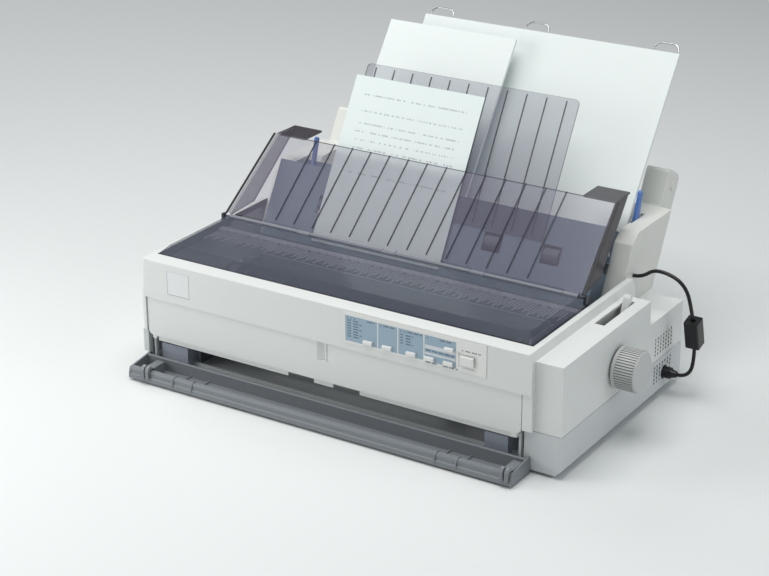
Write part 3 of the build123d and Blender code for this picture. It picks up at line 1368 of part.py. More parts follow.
with BuildPart() as printed_sheet:
    stack_slab(printed_drop, printed_drop + printed_length, sheet_ahead, sheet_ahead + sheet_thick,
               printed_left, printed_left + printed_width)
finish(printed_sheet, "printed_sheet")

# ---------------------------------------------------------------- feeder cable
relief_end = case_width + plug_length + relief_length
cable_route = [(feeder_right_face, 290.0, 151.0), (572.0, 290.0, 151.0), (591.0, 293.0, 166.0),
               (632.0, 290.0, 156.0), (ferrite_across, 287.9, 117.0), (ferrite_across, 302.3, 63.0),
               (647.0, plug_back, plug_height), (relief_end, plug_back, plug_height)]
cable_share = 0.45


def bend_radii(route):
    """Largest radius at each corner that leaves part of both runs straight."""
    radii = []
    for number in range(1, len(route) - 1):
        before = Vector(*route[number]) - Vector(*route[number - 1])
        after = Vector(*route[number + 1]) - Vector(*route[number])
        half_turn = math.radians(before.get_angle(after)) / 2
        radii.append(cable_share * min(before.length, after.length) / math.tan(half_turn))
    return radii


cable_radii = bend_radii(cable_route)
print("cable bend radii", [round(radius, 1) for radius in cable_radii])
cable_points = [(across(x), back(y), z) for x, y, z in cable_route]
with BuildPart() as feeder_cable:
    with BuildLine() as cable_line:
        FilletPolyline(*cable_points, radius=cable_radii)
    with BuildSketch(Plane(origin=cable_line.line @ 0, z_dir=cable_line.line % 0)) as cable_section:
        Circle(cable_radius)
    sweep(cable_section.sketch, path=cable_line.line)
cable_length = sum(edge.length for edge in cable_line.line.edges())
print("cable length", round(cable_length, 1), "volume", round(feeder_cable.part.volume, 1),
      "section x length", round(math.pi * cable_radius ** 2 * cable_length, 1))
finish(feeder_cable, "feeder_cable")

ferrite_bore = 3.2
ferrite_high = Vector(*cable_points[4])
ferrite_low = Vector(*cable_points[5])
ferrite_plane = Plane(origin=(ferrite_high + ferrite_low) / 2, z_dir=ferrite_high - ferrite_low,
                      x_dir=(1, 0, 0))
with BuildPart(ferrite_plane) as ferrite_block:
    Box(ferrite_size, ferrite_size, ferrite_length)
    fillet(ferrite_block.edges().filter_by(lambda edge: abs(edge.length - ferrite_length) < 0.1), 2.0)
    Cylinder(ferrite_bore, ferrite_length + 2, mode=Mode.SUBTRACT)
finish(ferrite_block, "ferrite_block")

relief_tip = 4.0
with BuildPart() as cable_plug:
    rod_across(case_width - shell_depth, case_width, plug_back, plug_height, shell_radius)
    rod_across(case_width, case_width + plug_length, plug_back, plug_height, plug_radius)
    relief_plane = Plane(origin=(across(case_width + plug_length), back(plug_back), plug_height),
                         x_dir=(0, 1, 0), z_dir=(1, 0, 0))
    with BuildSketch(relief_plane):
        Circle(plug_radius - 1.5)
    with BuildSketch(relief_plane.offset(relief_length)):
        Circle(relief_tip)
    loft()
finish(cable_plug, "cable_plug")
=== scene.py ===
import math

import bpy
from mathutils import Matrix, Quaternion, Vector


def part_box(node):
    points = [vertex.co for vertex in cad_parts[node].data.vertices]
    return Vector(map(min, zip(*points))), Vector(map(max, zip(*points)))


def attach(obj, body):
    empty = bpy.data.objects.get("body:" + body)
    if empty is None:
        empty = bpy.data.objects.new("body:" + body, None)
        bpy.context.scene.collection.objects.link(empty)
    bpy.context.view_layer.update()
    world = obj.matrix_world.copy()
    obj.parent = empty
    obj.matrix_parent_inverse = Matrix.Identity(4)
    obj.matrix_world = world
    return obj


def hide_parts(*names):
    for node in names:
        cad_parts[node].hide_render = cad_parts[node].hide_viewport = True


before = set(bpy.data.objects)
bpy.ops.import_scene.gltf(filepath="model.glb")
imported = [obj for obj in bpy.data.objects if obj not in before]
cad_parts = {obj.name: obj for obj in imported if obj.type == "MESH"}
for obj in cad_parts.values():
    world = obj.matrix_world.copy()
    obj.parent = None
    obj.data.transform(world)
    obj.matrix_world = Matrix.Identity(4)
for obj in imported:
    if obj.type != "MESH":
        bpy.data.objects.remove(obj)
print("frame loaded")
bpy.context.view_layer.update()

# where the case's left wall and bezel stand in the shared frame, in metres
caseLeft = -0.322
bezelFace = -0.216111


def place(across, back, height):
    # a point of the printer, from millimetres across, back and up
    return Vector((caseLeft + across / 1000, bezelFace + back / 1000, height / 1000))


def tone(red, green, blue):
    # colours are written as they look on a screen, 0 to 255
    def linear(value):
        value = value / 255
        return value / 12.92 if value <= 0.04045 else ((value + 0.055) / 1.055) ** 2.4
    return (linear(red), linear(green), linear(blue), 1.0)


def darker(colour, share):
    return tuple(part * (1 - share) for part in colour[:3]) + (1.0,)


# finishes

def newFinish(name):
    # a named finish, ready for its nodes; pieces are given it by its name
    finish = bpy.data.materials.new(name)
    finish.use_nodes = True
    nodes = finish.node_tree.nodes
    return nodes, finish.node_tree.links, nodes["Principled BSDF"]


def grainBump(nodes, links, shader, scale, strength, distance=0.0003):
    coords = nodes.new("ShaderNodeTexCoord")
    fine = nodes.new("ShaderNodeTexNoise")
    fine.inputs["Scale"].default_value = scale
    fine.inputs["Detail"].default_value = 2
    links.new(coords.outputs["Object"], fine.inputs["Vector"])
    bump = nodes.new("ShaderNodeBump")
    bump.inputs["Strength"].default_value = strength
    bump.inputs["Distance"].default_value = distance
    links.new(fine.outputs["Fac"], bump.inputs["Height"])
    links.new(bump.outputs["Normal"], shader.inputs["Normal"])
    return coords


# sockets of a colour mix: its share, its two colours and its result
mixSockets = {"share": 0, "first": 6, "second": 7, "result": 2}


def mixedColour(nodes, links, shader, first, second, share):
    mixer = nodes.new("ShaderNodeMix")
    mixer.data_type = "RGBA"
    mixer.inputs[mixSockets["first"]].default_value = first
    mixer.inputs[mixSockets["second"]].default_value = second
    links.new(share, mixer.inputs[mixSockets["share"]])
    links.new(mixer.outputs[mixSockets["result"]], shader.inputs["Base Color"])


def mottledColour(nodes, links, shader, coords, colour, mottle, scale=9):
    broad = nodes.new("ShaderNodeTexNoise")
    broad.inputs["Scale"].default_value = scale
    broad.inputs["Detail"].default_value = 3
    links.new(coords.outputs["Object"], broad.inputs["Vector"])
    mixedColour(nodes, links, shader, colour, darker(colour, mottle), broad.outputs["Fac"])


def mouldedPlastic(name, colour, roughness=0.45, grain=0.1, mottle=0.04):
    # fine spark-eroded grain and a very slight unevenness of the colour
    nodes, links, shader = newFinish(name)
    coords = grainBump(nodes, links, shader, 1400, grain)
    mottledColour(nodes, links, shader, coords, colour, mottle)
    shader.inputs["Roughness"].default_value = roughness


def smokedPlastic(name, colour, cover, roughness):
    # clear tinted sheet; cover is how much one face of it hides of what lies behind
    nodes, links, shader = newFinish(name)
    coords = nodes.new("ShaderNodeTexCoord")
    mottledColour(nodes, links, shader, coords, colour, 0.12, 6)
    shader.inputs["Roughness"].default_value = roughness
    shader.inputs["Alpha"].default_value = cover
    shader.inputs["IOR"].default_value = 1.5


def metalFinish(name, colour, roughness):
    # plated or drawn metal with faint scratches and an uneven tint
    nodes, links, shader = newFinish(name)
    coords = grainBump(nodes, links, shader, 500, 0.05, 0.0001)
    mottledColour(nodes, links, shader, coords, colour, 0.1, 30)
    shader.inputs["Metallic"].default_value = 1.0
    shader.inputs["Roughness"].default_value = roughness


def mattPaper(name):
    nodes, links, shader = newFinish(name)
    coords = grainBump(nodes, links, shader, 260, 0.05, 0.0004)
    shader.inputs["Roughness"].default_value = 0.7
    shader.inputs["Specular IOR Level"].default_value = 0.25
    return nodes, links, shader, coords


def stackedPaper(name, colour, layers):
    # matt paper in a stack; layers is the direction across it, and its cut edges show fine lines
    nodes, links, shader, coords = mattPaper(name)
    depth = nodes.new("ShaderNodeVectorMath")
    depth.operation = "DOT_PRODUCT"
    depth.inputs[1].default_value = layers
    links.new(coords.outputs["Object"], depth.inputs[0])
    scaled = nodes.new("ShaderNodeMath")
    scaled.operation = "MULTIPLY"
    scaled.inputs[1].default_value = 2600  # steps of the noise in a metre of stack
    links.new(depth.outputs["Value"], scaled.inputs[0])
    lines = nodes.new("ShaderNodeTexNoise")
    lines.noise_dimensions = "1D"
    lines.inputs["Scale"].default_value = 1
    lines.inputs["Detail"].default_value = 1
    links.new(scaled.outputs["Value"], lines.inputs["W"])
    ramp = nodes.new("ShaderNodeMapRange")
    ramp.inputs["From Min"].default_value = 0.35
    ramp.inputs["From Max"].default_value = 0.65
    links.new(lines.outputs["Fac"], ramp.inputs["Value"])
    mixedColour(nodes, links, shader, colour, darker(colour, 0.14), ramp.outputs["Result"])


def typedPaper(name, colour, ink, page):
    # a sheet with rows of short grey strokes, laid out by page
    nodes, links, shader, coords = mattPaper(name)

    def mathNode(operation, first, second=None):
        node = nodes.new("ShaderNodeMath")
        node.operation = operation
        for socket, value in zip(node.inputs, (first, second)):
            if isinstance(value, (int, float)):
                socket.default_value = value
            elif value is not None:
                links.new(value, socket)
        return node.outputs["Value"]

    def measured(direction, start):
        along = nodes.new("ShaderNodeVectorMath")
        along.operation = "DOT_PRODUCT"
        along.inputs[1].default_value = direction
        links.new(coords.outputs["Object"], along.inputs[0])
        return mathNode("SUBTRACT", along.outputs["Value"], start)

    across = measured(page["across"], page["corner"].dot(page["across"]))
    down = measured(page["down"], page["corner"].dot(page["down"]))
    row = mathNode("DIVIDE", down, page["rowPitch"])
    rowNumber = mathNode("FLOOR", row)
    inRow = mathNode("LESS_THAN", mathNode("FRACT", row), page["inkShare"])
    words = nodes.new("ShaderNodeTexNoise")
    words.inputs["Scale"].default_value = 1
    words.inputs["Detail"].default_value = 3
    wordPlace = nodes.new("ShaderNodeCombineXYZ")
    links.new(mathNode("MULTIPLY", across, page["wordsPerMetre"]), wordPlace.inputs["X"])
    links.new(mathNode("MULTIPLY", rowNumber, page["rowShift"]), wordPlace.inputs["Y"])
    links.new(wordPlace.outputs["Vector"], words.inputs["Vector"])
    inWord = mathNode("GREATER_THAN", words.outputs["Fac"], 0.5)
    skipped = nodes.new("ShaderNodeTexWhiteNoise")
    skipped.noise_dimensions = "1D"
    links.new(rowNumber, skipped.inputs["W"])
    rowKept = mathNode("GREATER_THAN", skipped.outputs["Value"], page["rowsSkipped"])
    share = mathNode("MULTIPLY", mathNode("MULTIPLY", inRow, inWord), rowKept)
    for value, low, high in ((across, page["margin"], page["width"] - page["margin"]),
                             (down, page["head"], page["length"])):
        share = mathNode("MULTIPLY", share, mathNode("GREATER_THAN", value, low))
        share = mathNode("MULTIPLY", share, mathNode("LESS_THAN", value, high))
    mixedColour(nodes, links, shader, colour, ink, share)


def slanted(angle):
    # up the slope and square to it, in the side view
    turn = math.radians(angle)
    return Vector((0, math.cos(turn), math.sin(turn))), Vector((0, -math.sin(turn), math.cos(turn)))


slopes = {"sheets": 54.4, "stacker": 60.0, "flap": 39.4}  # degrees from the floor
upSheets, squareToSheets = slanted(slopes["sheets"])
upStacker, squareToStacker = slanted(slopes["stacker"])
upFlap, squareToFlap = slanted(slopes["flap"])

mouldedPlastic("caseOffWhite", tone(226, 229, 227))
mouldedPlastic("lowerCaseGrey", tone(206, 211, 212))
mouldedPlastic("feederOffWhite", tone(226, 227, 222))
mouldedPlastic("knobGrey", tone(196, 198, 197))
# painted shade for the knob's flutes
mouldedPlastic("knobGroove", tone(138, 140, 140))
mouldedPlastic("trayGrey", tone(126, 131, 136))
mouldedPlastic("guideBlueGrey", tone(176, 183, 196))
mouldedPlastic("combGrey", tone(232, 226, 238))
mouldedPlastic("frameSlate", tone(112, 128, 146))
mouldedPlastic("rollerSlate", tone(88, 94, 106), 0.6)
# painted shade: dark colour for the inside of the case's well
mouldedPlastic("deckDark", tone(38, 42, 48), 0.5)
mouldedPlastic("fingerPale", tone(216, 211, 220), 0.5)
# painted shade, worn in the vent slots and in the gap round the badge plate
mouldedPlastic("slotShade", tone(58, 60, 62), 0.7)
mouldedPlastic("innerDark", tone(50, 54, 62), 0.4)
mouldedPlastic("cableBlack", tone(22, 22, 24), 0.38, 0.05)
mouldedPlastic("leverBlue", tone(84, 124, 196), 0.35, 0.04)
mouldedPlastic("keyWhite", tone(234, 235, 232), 0.35, 0.05)
mouldedPlastic("gearNylon", tone(222, 222, 214), 0.4, 0.04)
mouldedPlastic("platenRubber", tone(30, 31, 33), 0.6, 0.12)
mouldedPlastic("boardGreen", tone(38, 92, 56), 0.35, 0.05)
mouldedPlastic("labelBlue", tone(154, 177, 194), 0.4, 0.03, 0.02)
mouldedPlastic("badgePale", tone(228, 231, 232), 0.4, 0.03, 0.02)
mouldedPlastic("labelPale", tone(214, 218, 222), 0.4, 0.03, 0.02)
mouldedPlastic("labelInk", tone(72, 86, 104), 0.5, 0.03, 0.02)
mouldedPlastic("lampLens", tone(60, 74, 70), 0.2, 0.02, 0.02)
metalFinish("brightSteel", tone(206, 208, 212), 0.26)
metalFinish("zincFrame", tone(176, 178, 180), 0.4)
metalFinish("bushBrass", tone(196, 164, 104), 0.35)
metalFinish("headAluminium", tone(70, 72, 78), 0.4)
smokedPlastic("windowSmoke", tone(102, 108, 122), 0.44, 0.16)
smokedPlastic("flapSmoke", tone(144, 140, 160), 0.2, 0.14)
smokedPlastic("flapSide", tone(54, 47, 57), 0.86, 0.22)
smokedPlastic("flapSideFar", tone(140, 132, 146), 0.5, 0.16)
smokedPlastic("smokeRim", tone(24, 23, 29), 0.97, 0.5)
smokedPlastic("stackerSmoke", tone(130, 132, 152), 0.22, 0.14)
smokedPlastic("stackerEdge", tone(46, 48, 60), 0.8, 0.2)
smokedPlastic("smokeEdge", tone(58, 58, 70), 0.85, 0.2)
# painted sheen for the hinge barrels
smokedPlastic("hingeSheen", tone(140, 142, 152), 0.9, 0.25)
stackedPaper("stackedPaper", tone(240, 247, 246), -squareToSheets)

# the sheet's top left corner, its two directions, its size and margins in metres, and its rows of strokes
printedPage = {
    "corner": place(124, 346.4, 336.0), "across": Vector((1, 0, 0)), "down": -upStacker,
    "width": 0.198, "length": 0.15, "margin": 0.02, "head": 0.024, "rowPitch": 0.0056,
    "inkShare": 0.34, "rowsSkipped": 0.66, "wordsPerMetre": 260, "rowShift": 7.3,
}
typedPaper("printedPaper", tone(228, 238, 237), tone(188, 194, 199), printedPage)
print("finishes made")

# which finish each CAD node wears
wornBy = {
    "caseOffWhite": ["upper_case", "front_door", "paper_release_lever"],
    "lowerCaseGrey": ["lower_case"],
    "feederOffWhite": ["feeder_housing_left", "feeder_housing_right"],
    "knobGrey": ["platen_knob"],
    "trayGrey": ["paper_tray", "tray_guide_left", "tray_guide_right"],
    "guideBlueGrey": ["paper_guides"],
    "combGrey": ["comb_bar"],
    "frameSlate": ["feeder_cross_frame", "bin_plates"],
    "rollerSlate": ["eject_shaft"],
    "innerDark": ["hinge_pins", "ribbon_cartridge", "sockets", "tractor_left", "tractor_right", "carriage"],
    "cableBlack": ["feeder_cable", "ferrite_block", "cable_plug", "rubber_feet", "carriage_belt"],
    "leverBlue": ["bin_lever_left", "bin_lever_right"],
    "keyWhite": ["select_key", "pitch_key", "tear_off_key", "feed_key", "load_key", "pause_key",
                 "power_key", "control_panel"],
    "gearNylon": ["feed_idler_gear", "drive_pulley", "idler_pulley"],
    "platenRubber": ["platen_roller"],
    "boardGreen": ["main_board"],
    "brightSteel": ["platen_shaft", "tractor_shaft", "carriage_rods", "wire_supports", "feed_shaft_front",
                    "feed_shaft_rear", "motors"],
    "zincFrame": ["side_frames", "power_supply"],
    "bushBrass": ["shaft_bearings", "motor_pinion"],
    "headAluminium": ["print_head"],
    "windowSmoke": ["front_window"],
    "flapSmoke": ["rear_flap"],
    "stackerSmoke": ["stacker"],
    "stackedPaper": ["rear_bin_sheets", "front_bin_sheets"],
    "printedPaper": ["printed_sheet"],
}
for finishName, nodeNames in wornBy.items():
    for nodeName in nodeNames:
        cadPiece = bpy.data.objects[nodeName]
        cadPiece.data.materials.clear()
        cadPiece.data.materials.append(bpy.data.materials[finishName])
print("finishes given to the nodes")


# moulded parts get softly rounded edges, which their CAD solids lack
softening = {
    "merge": 0.00001,  # metres
    "flat": 0.6, "sharp": 24, "smooth": 22,  # degrees between two faces
}


def softened(nodeName, body, rounding):
    source = bpy.data.objects[nodeName]
    piece = bpy.data.objects.new(nodeName + "_soft", source.data.copy())
    bpy.context.scene.collection.objects.link(piece)
    bpy.ops.object.select_all(action="DESELECT")
    piece.select_set(True)
    bpy.context.view_layer.objects.active = piece
    bpy.ops.object.mode_set(mode="EDIT")
    bpy.ops.mesh.select_all(action="SELECT")
    bpy.ops.mesh.remove_doubles(threshold=softening["merge"])
    bpy.ops.mesh.dissolve_limited(angle_limit=math.radians(softening["flat"]))
    bpy.ops.object.mode_set(mode="OBJECT")
    edgeRound = piece.modifiers.new("edgeRound", "BEVEL")
    edgeRound.width = rounding / 1000
    edgeRound.segments = 2
    edgeRound.limit_method = "ANGLE"
    edgeRound.angle_limit = math.radians(softening["sharp"])
    edgeRound.use_clamp_overlap = True
    bpy.ops.object.modifier_apply(modifier=edgeRound.name)
    bpy.ops.object.shade_smooth_by_angle(angle=math.radians(softening["smooth"]))
    flatFaces = piece.modifiers.new("flatFaces", "WEIGHTED_NORMAL")
    flatFaces.mode = "FACE_AREA"
    flatFaces.weight = 100  # the large faces alone decide, so they shade flat
    flatFaces.keep_sharp = True
    bpy.ops.object.modifier_apply(modifier=flatFaces.name)
    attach(piece, body)
    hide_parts(nodeName)
    return piece


softEdges = {
    # node: the body it rides on and its rounding in millimetres
    "upper_case": ("printer", 0.9), "lower_case": ("printer", 0.7), "front_door": ("door", 0.5),
    "control_panel": ("printer", 0.12), "feeder_housing_left": ("printer", 1.0),
    "feeder_housing_right": ("printer", 1.0), "paper_tray": ("printer", 0.4),
    "tray_guide_left": ("tray_stop_a", 0.4), "tray_guide_right": ("tray_stop_b", 0.4),
    "paper_release_lever": ("release_lever", 0.8), "bin_lever_left": ("bin_lever_a", 0.6),
    "bin_lever_right": ("bin_lever_b", 0.6), "platen_knob": ("platen", 0.18),
    "front_window": ("window_cover", 0.6), "rear_flap": ("flap_cover", 0.65), "stacker": ("printer", 0.3),
}
softPieces = {}
for nodeName, (body, rounding) in softEdges.items():
    softPieces[nodeName] = softened(nodeName, body, rounding)
print("edges rounded")


def wearAlso(piece, finishName, chosen):
    # faces picked by chosen wear a further finish; it is given each one's centre, normal and
    # narrowness, which is its area over its longest side
    piece.data.materials.append(bpy.data.materials[finishName])
    slotNumber = len(piece.data.materials) - 1
    points = piece.data.vertices
    for face in piece.data.polygons:
        corners = [points[number].co for number in face.vertices]
        longest = max((corners[k] - corners[k - 1]).length for k in range(len(corners)))
        if chosen(face.center, face.normal, face.area / max(longest, 1e-6)):
            face.material_index = slotNumber


def isBetween(point, low, high):
    return all(low[k] < point[k] < high[k] for k in range(3))


# thin edges and ribs of smoked sheet look nearly black, and the hinge barrels wear a painted sheen
hingeAxis = place(0, 162.5, 165.2)
covers = {
    # in metres: how narrow the faces of an edge or rib are, where the flap's wings start, and how far
    # from the axis the hinge barrels and the knuckles around them reach
    "flapEdge": 0.0031, "windowEdge": 0.0029, "stackerEdge": 0.0022,
    "wingStart": 0.1372, "barrel": 0.005, "knuckle": 0.008,
    "sideFacing": 0.8,  # the least sideways part of a side wall's normal
}


def fromHinge(point):
    return math.hypot(point.y - hingeAxis.y, point.z - hingeAxis.z)


def isFlapSide(normal, narrow):
    return narrow >= covers["flapEdge"] and abs(normal.x) > covers["sideFacing"]


wearAlso(softPieces["rear_flap"], "flapSide", lambda centre, normal, narrow: (
    isFlapSide(normal, narrow)
    or narrow >= covers["flapEdge"] and upFlap.dot(centre - hingeAxis) > covers["wingStart"]))
wearAlso(softPieces["rear_flap"], "flapSideFar",
         lambda centre, normal, narrow: isFlapSide(normal, narrow) and centre.x < 0)
for coverName, edge in (("rear_flap", covers["flapEdge"]), ("front_window", covers["windowEdge"])):
    wearAlso(softPieces[coverName], "smokeEdge",
             lambda centre, normal, narrow: narrow < edge and fromHinge(centre) > covers["knuckle"])
    # painted sheen on the hinge barrels' faces
    wearAlso(softPieces[coverName], "hingeSheen",
             lambda centre, normal, narrow: fromHinge(centre) < covers["barrel"])
wearAlso(softPieces["stacker"], "stackerEdge",
         lambda centre, normal, narrow: narrow < covers["stackerEdge"])

# painted shade darkens the knob's flutes between its ridges; metres from its axis
knob = {"axis": place(0, 150.2, 92.6), "grooveInner": 0.02, "grooveOuter": 0.0262, "endFacing": 0.5}


def isFlute(centre, normal, narrow):
    outFromAxis = math.hypot(centre.y - knob["axis"].y, centre.z - knob["axis"].z)
    return knob["grooveInner"] < outFromAxis < knob["grooveOuter"] and abs(normal.x) < knob["endFacing"]


wearAlso(softPieces["platen_knob"], "knobGroove", isFlute)

# painted shade: the upper case's faces in the well under the covers, up to the rim, wear a dark colour
wellLow, wellHigh = place(7.8, 23.8, 100), place(567.2, 262, 155.2)
wearAlso(softPieces["upper_case"], "deckDark",
         lambda centre, normal, narrow: isBetween(centre, wellLow, wellHigh))
print("smoked edges, grooves and the well coloured")


# new pieces start from a tile, and are joined or copied, named and given to a body

def finishPiece(piece, name, finishName, body):
    piece.name = name
    piece.data.materials.clear()
    piece.data.materials.append(bpy.data.materials[finishName])
    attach(piece, body)


def tile(low, high, rounding):
    # a thin block between two corners, in the case's millimetres, its edges rounded
    bpy.ops.object.select_all(action="DESELECT")
    lowPlace, highPlace = place(*low), place(*high)
    bpy.ops.mesh.primitive_cube_add(size=1, location=(lowPlace + highPlace) / 2, scale=highPlace - lowPlace)
    piece = bpy.context.object
    bpy.ops.object.transform_apply(location=True, rotation=True, scale=True)
    bpy.ops.object.mode_set(mode="EDIT")
    bpy.ops.mesh.select_all(action="SELECT")
    bpy.ops.mesh.bevel(offset=rounding / 1000, segments=2, affect="EDGES")
    bpy.ops.object.mode_set(mode="OBJECT")
    return piece


def joined(first, others):
    bpy.ops.object.select_all(action="DESELECT")
    for piece in [first] + others:
        piece.select_set(True)
    bpy.context.view_layer.objects.active = first
    bpy.ops.object.join()
    return first


def copiesOf(pattern, shifts):
    # the pattern piece copied by each shift, each copy with its own mesh, and the pattern taken away
    made = []
    for shift in shifts:
        twin = bpy.data.objects.new(pattern.name, pattern.data.copy())
        twin.data.transform(Matrix.Translation(shift))
        bpy.context.scene.collection.objects.link(twin)
        made.append(twin)
    bpy.data.objects.remove(pattern)
    return joined(made[0], made[1:])


# control panel: steel-blue label with pale bands, small lamps and rows of short strokes
label = {
    "sections": [(318.4, 363.8), (365.6, 392.2), (394.2, 428.6), (430.6, 473.6)],
    "low": 115.9, "high": 149.1, "front": -0.45, "back": -0.15, "rounding": 0.08,
    "paleBands": [(431.0, 473.2, 132.4, 137.2), (431.0, 473.2, 124.6, 127.4)],
    "bandFront": -0.51, "bandBack": -0.35, "bandRounding": 0.03,
    "lamps": [(322.0, 146.4), (326.8, 146.4), (331.6, 146.4), (369.0, 146.0), (397.6, 146.0),
              (402.6, 146.0), (434.6, 146.0)],
    "lampsOnFrame": [(482.6, 141.0)],
    "frameFace": -0.6, "lampRadius": 0.0008, "lampSunk": 0.3, "lampCut": 0.2,
    "strokeHeight": 1.6, "strokeWidth": 1.3, "strokePitch": 1.75, "strokeProud": 0.05,
    "strokeRounding": 0.02, "firstListDrop": 3.5, "thirdListDrop": 3.6,
}
fields = [tile((left, label["front"], label["low"]), (right, label["back"], label["high"]),
               label["rounding"])
          for left, right in label["sections"]]
finishPiece(joined(fields[0], fields[1:]), "panelLabel", "labelBlue", "printer")
bands = [tile((left, label["bandFront"], low), (right, label["bandBack"], high), label["bandRounding"])
         for left, right, low, high in label["paleBands"]]
finishPiece(joined(bands[0], bands[1:]), "panelBands", "labelPale", "printer")

# rows of strokes on the label and on the frame beside it: left end, height and how many
rowsOnLabel = []
for number in range(7):
    height = 142.6 - label["firstListDrop"] * number
    rowsOnLabel += [(321.4, height, 3), (330.0, height, 5 + number % 2 * 2)]
rowsOnLabel += [(350.0, 146.0, 6), (373.0, 146.0, 10), (406.6, 146.0, 12), (452.0, 146.0, 10),
                (432.4, 129.4, 14), (458.0, 129.4, 8), (345.6, 117.2, 3)]
for number in range(4):
    height = 141.0 - label["thirdListDrop"] * number
    rowsOnLabel += [(397.0, height, 2), (404.6, height, 6 - number % 3)]
rowsOnFrame = [(486.6, 140.4, 12), (483.6, 132.6, 10), (432.0, 114.0, 9), (456.0, 114.0, 12)]
stroke = tile((0, -label["strokeProud"], 0),
              (label["strokeWidth"], label["strokeProud"], label["strokeHeight"]),
              label["strokeRounding"])
strokeShifts = []
for rows, face in ((rowsOnLabel, label["front"]), (rowsOnFrame, label["frameFace"])):
    for left, height, count in rows:
        strokeShifts += [place(left + label["strokePitch"] * number, face, height) - place(0, 0, 0)
                         for number in range(count) if number % 5 != 4]  # every fifth is a space
finishPiece(copiesOf(stroke, strokeShifts), "panelStrokes", "labelInk", "printer")


def lampDot(across, height, face):
    # a small domed lens that stands out of the panel
    bpy.ops.object.select_all(action="DESELECT")
    bpy.ops.mesh.primitive_uv_sphere_add(segments=14, ring_count=8, radius=label["lampRadius"],
                                         location=place(across, face, height))
    piece = bpy.context.object
    bpy.ops.object.transform_apply(location=True, rotation=True, scale=True)
    bpy.ops.object.mode_set(mode="EDIT")
    bpy.ops.mesh.select_all(action="SELECT")
    bpy.ops.mesh.bisect(plane_co=place(across, face + label["lampCut"], height), plane_no=(0, 1, 0),
                        clear_outer=True, use_fill=True)
    bpy.ops.object.mode_set(mode="OBJECT")
    bpy.ops.object.shade_smooth_by_angle(angle=math.radians(40))
    return piece


lenses = [lampDot(across, height, label["front"] + label["lampSunk"])
          for across, height in label["lamps"]]
lenses += [lampDot(across, height, label["frameFace"] + label["lampSunk"])
           for across, height in label["lampsOnFrame"]]
finishPiece(joined(lenses[0], lenses[1:]), "panelLamps", "lampLens", "printer")
print("panel dressed")

# bare plate over the badge recess: a dark backing sheet of painted shade that shows as a fine edge in the
# gap, and the plate
badge = {"left": 45.6, "right": 79.6, "low": 115.6, "high": 146.8, "edge": 0.5,
         "shadeSheetFront": -0.25, "shadeSheetRear": 0.1, "plateFront": -0.45, "plateRear": -0.1}
badgeShadeSheet = tile((badge["left"] - badge["edge"], badge["shadeSheetFront"], badge["low"] - badge["edge"]),
               (badge["right"], badge["shadeSheetRear"], badge["high"]), 0.1)
finishPiece(badgeShadeSheet, "badgeBacking", "slotShade", "printer")
plate = tile((badge["left"], badge["plateFront"], badge["low"]),
             (badge["right"], badge["plateRear"], badge["high"]), 0.15)
finishPiece(plate, "badgePlate", "badgePale", "printer")

# painted shade: a dark sheet stands behind the ventilation slots, and their walls are coloured dark too
vents = {"front": 254.0, "rear": 312.0, "heights": [(62.0, 93.5), (24.5, 53.0)],
         "screen": (607.0, 607.8), "walls": (608.2, 610.7), "sideFacing": 0.5}
shadeSheetLeft, shadeSheetRight = vents["screen"]
shadeSheets = [tile((shadeSheetLeft, vents["front"], low), (shadeSheetRight, vents["rear"], high), 0.2)
           for low, high in vents["heights"]]
finishPiece(joined(shadeSheets[0], shadeSheets[1:]), "ventScreen", "slotShade", "printer")
slotLow = place(vents["walls"][0], vents["front"], vents["heights"][1][0])
slotHigh = place(vents["walls"][1], vents["rear"], vents["heights"][0][1])
for halfName in ("upper_case", "lower_case"):
    wearAlso(softPieces[halfName], "slotShade", lambda centre, normal, narrow: (
        isBetween(centre, slotLow, slotHigh) and abs(normal.x) < vents["sideFacing"]))
print("badge plate and ventilation dressed")

# ragged row of light fingers in front of the comb bar, seen through the window
fingers = {"first": 22.0, "pitch": 4.4, "count": 120, "width": 2.6, "front": 116.0, "rear": 147.0,
           "height": 151.2, "thick": 0.7, "step": 1.6, "rounding": 0.25}
finger = tile((0, fingers["front"], fingers["height"]),
              (fingers["width"], fingers["rear"], fingers["height"] + fingers["thick"]),
              fingers["rounding"])
fingerShifts = []
for number in range(fingers["count"]):
    ragged = number * 37 % 11 - 5  # steps forward or back, never the same twice running
    along = fingers["first"] + fingers["pitch"] * number
    fingerShifts.append(Vector((along, fingers["step"] * ragged, 0)) / 1000)
finishPiece(copiesOf(finger, fingerShifts), "paperFingers", "fingerPale", "printer")
print("paper fingers set")

# near-black rims along the flap's two slanting edges, made flat and turned onto the panel, in
# millimetres from the hinge
flapPanel = {"middle": 287.5, "foot": 270.0, "taper": 9.6, "length": 137.0, "face": 1.5}
flapRim = {"inside": 2.9, "outside": 0.5, "start": 3.0, "past": 0.3, "sunk": 0.4, "proud": 0.5,
           "rounding": 0.2}
flapTurn = Matrix((Vector((1, 0, 0)), upFlap, squareToFlap)).transposed().to_4x4()
flapTurn.translation = hingeAxis + Vector((flapPanel["middle"] / 1000, 0, 0))
edgeLean = math.atan2(flapPanel["taper"], flapPanel["length"])


def rimStrip(side):
    # side is 1 for the right edge and -1 for the left
    left, right = sorted((-side * flapRim["inside"], side * flapRim["outside"]))
    strip = tile((left, flapRim["start"], flapPanel["face"] - flapRim["sunk"]),
                 (right, flapPanel["length"] + flapRim["past"], flapPanel["face"] + flapRim["proud"]),
                 flapRim["rounding"])
    strip.data.transform(Matrix.Translation(-place(0, 0, 0)))
    strip.data.transform(Matrix.Rotation(side * edgeLean, 4, "Z"))
    strip.data.transform(Matrix.Translation(Vector((side * flapPanel["foot"] / 1000, 0, 0))))
    strip.data.transform(flapTurn)
    return strip


finishPiece(joined(rimStrip(1), [rimStrip(-1)]), "flapRims", "smokeRim", "flap_cover")

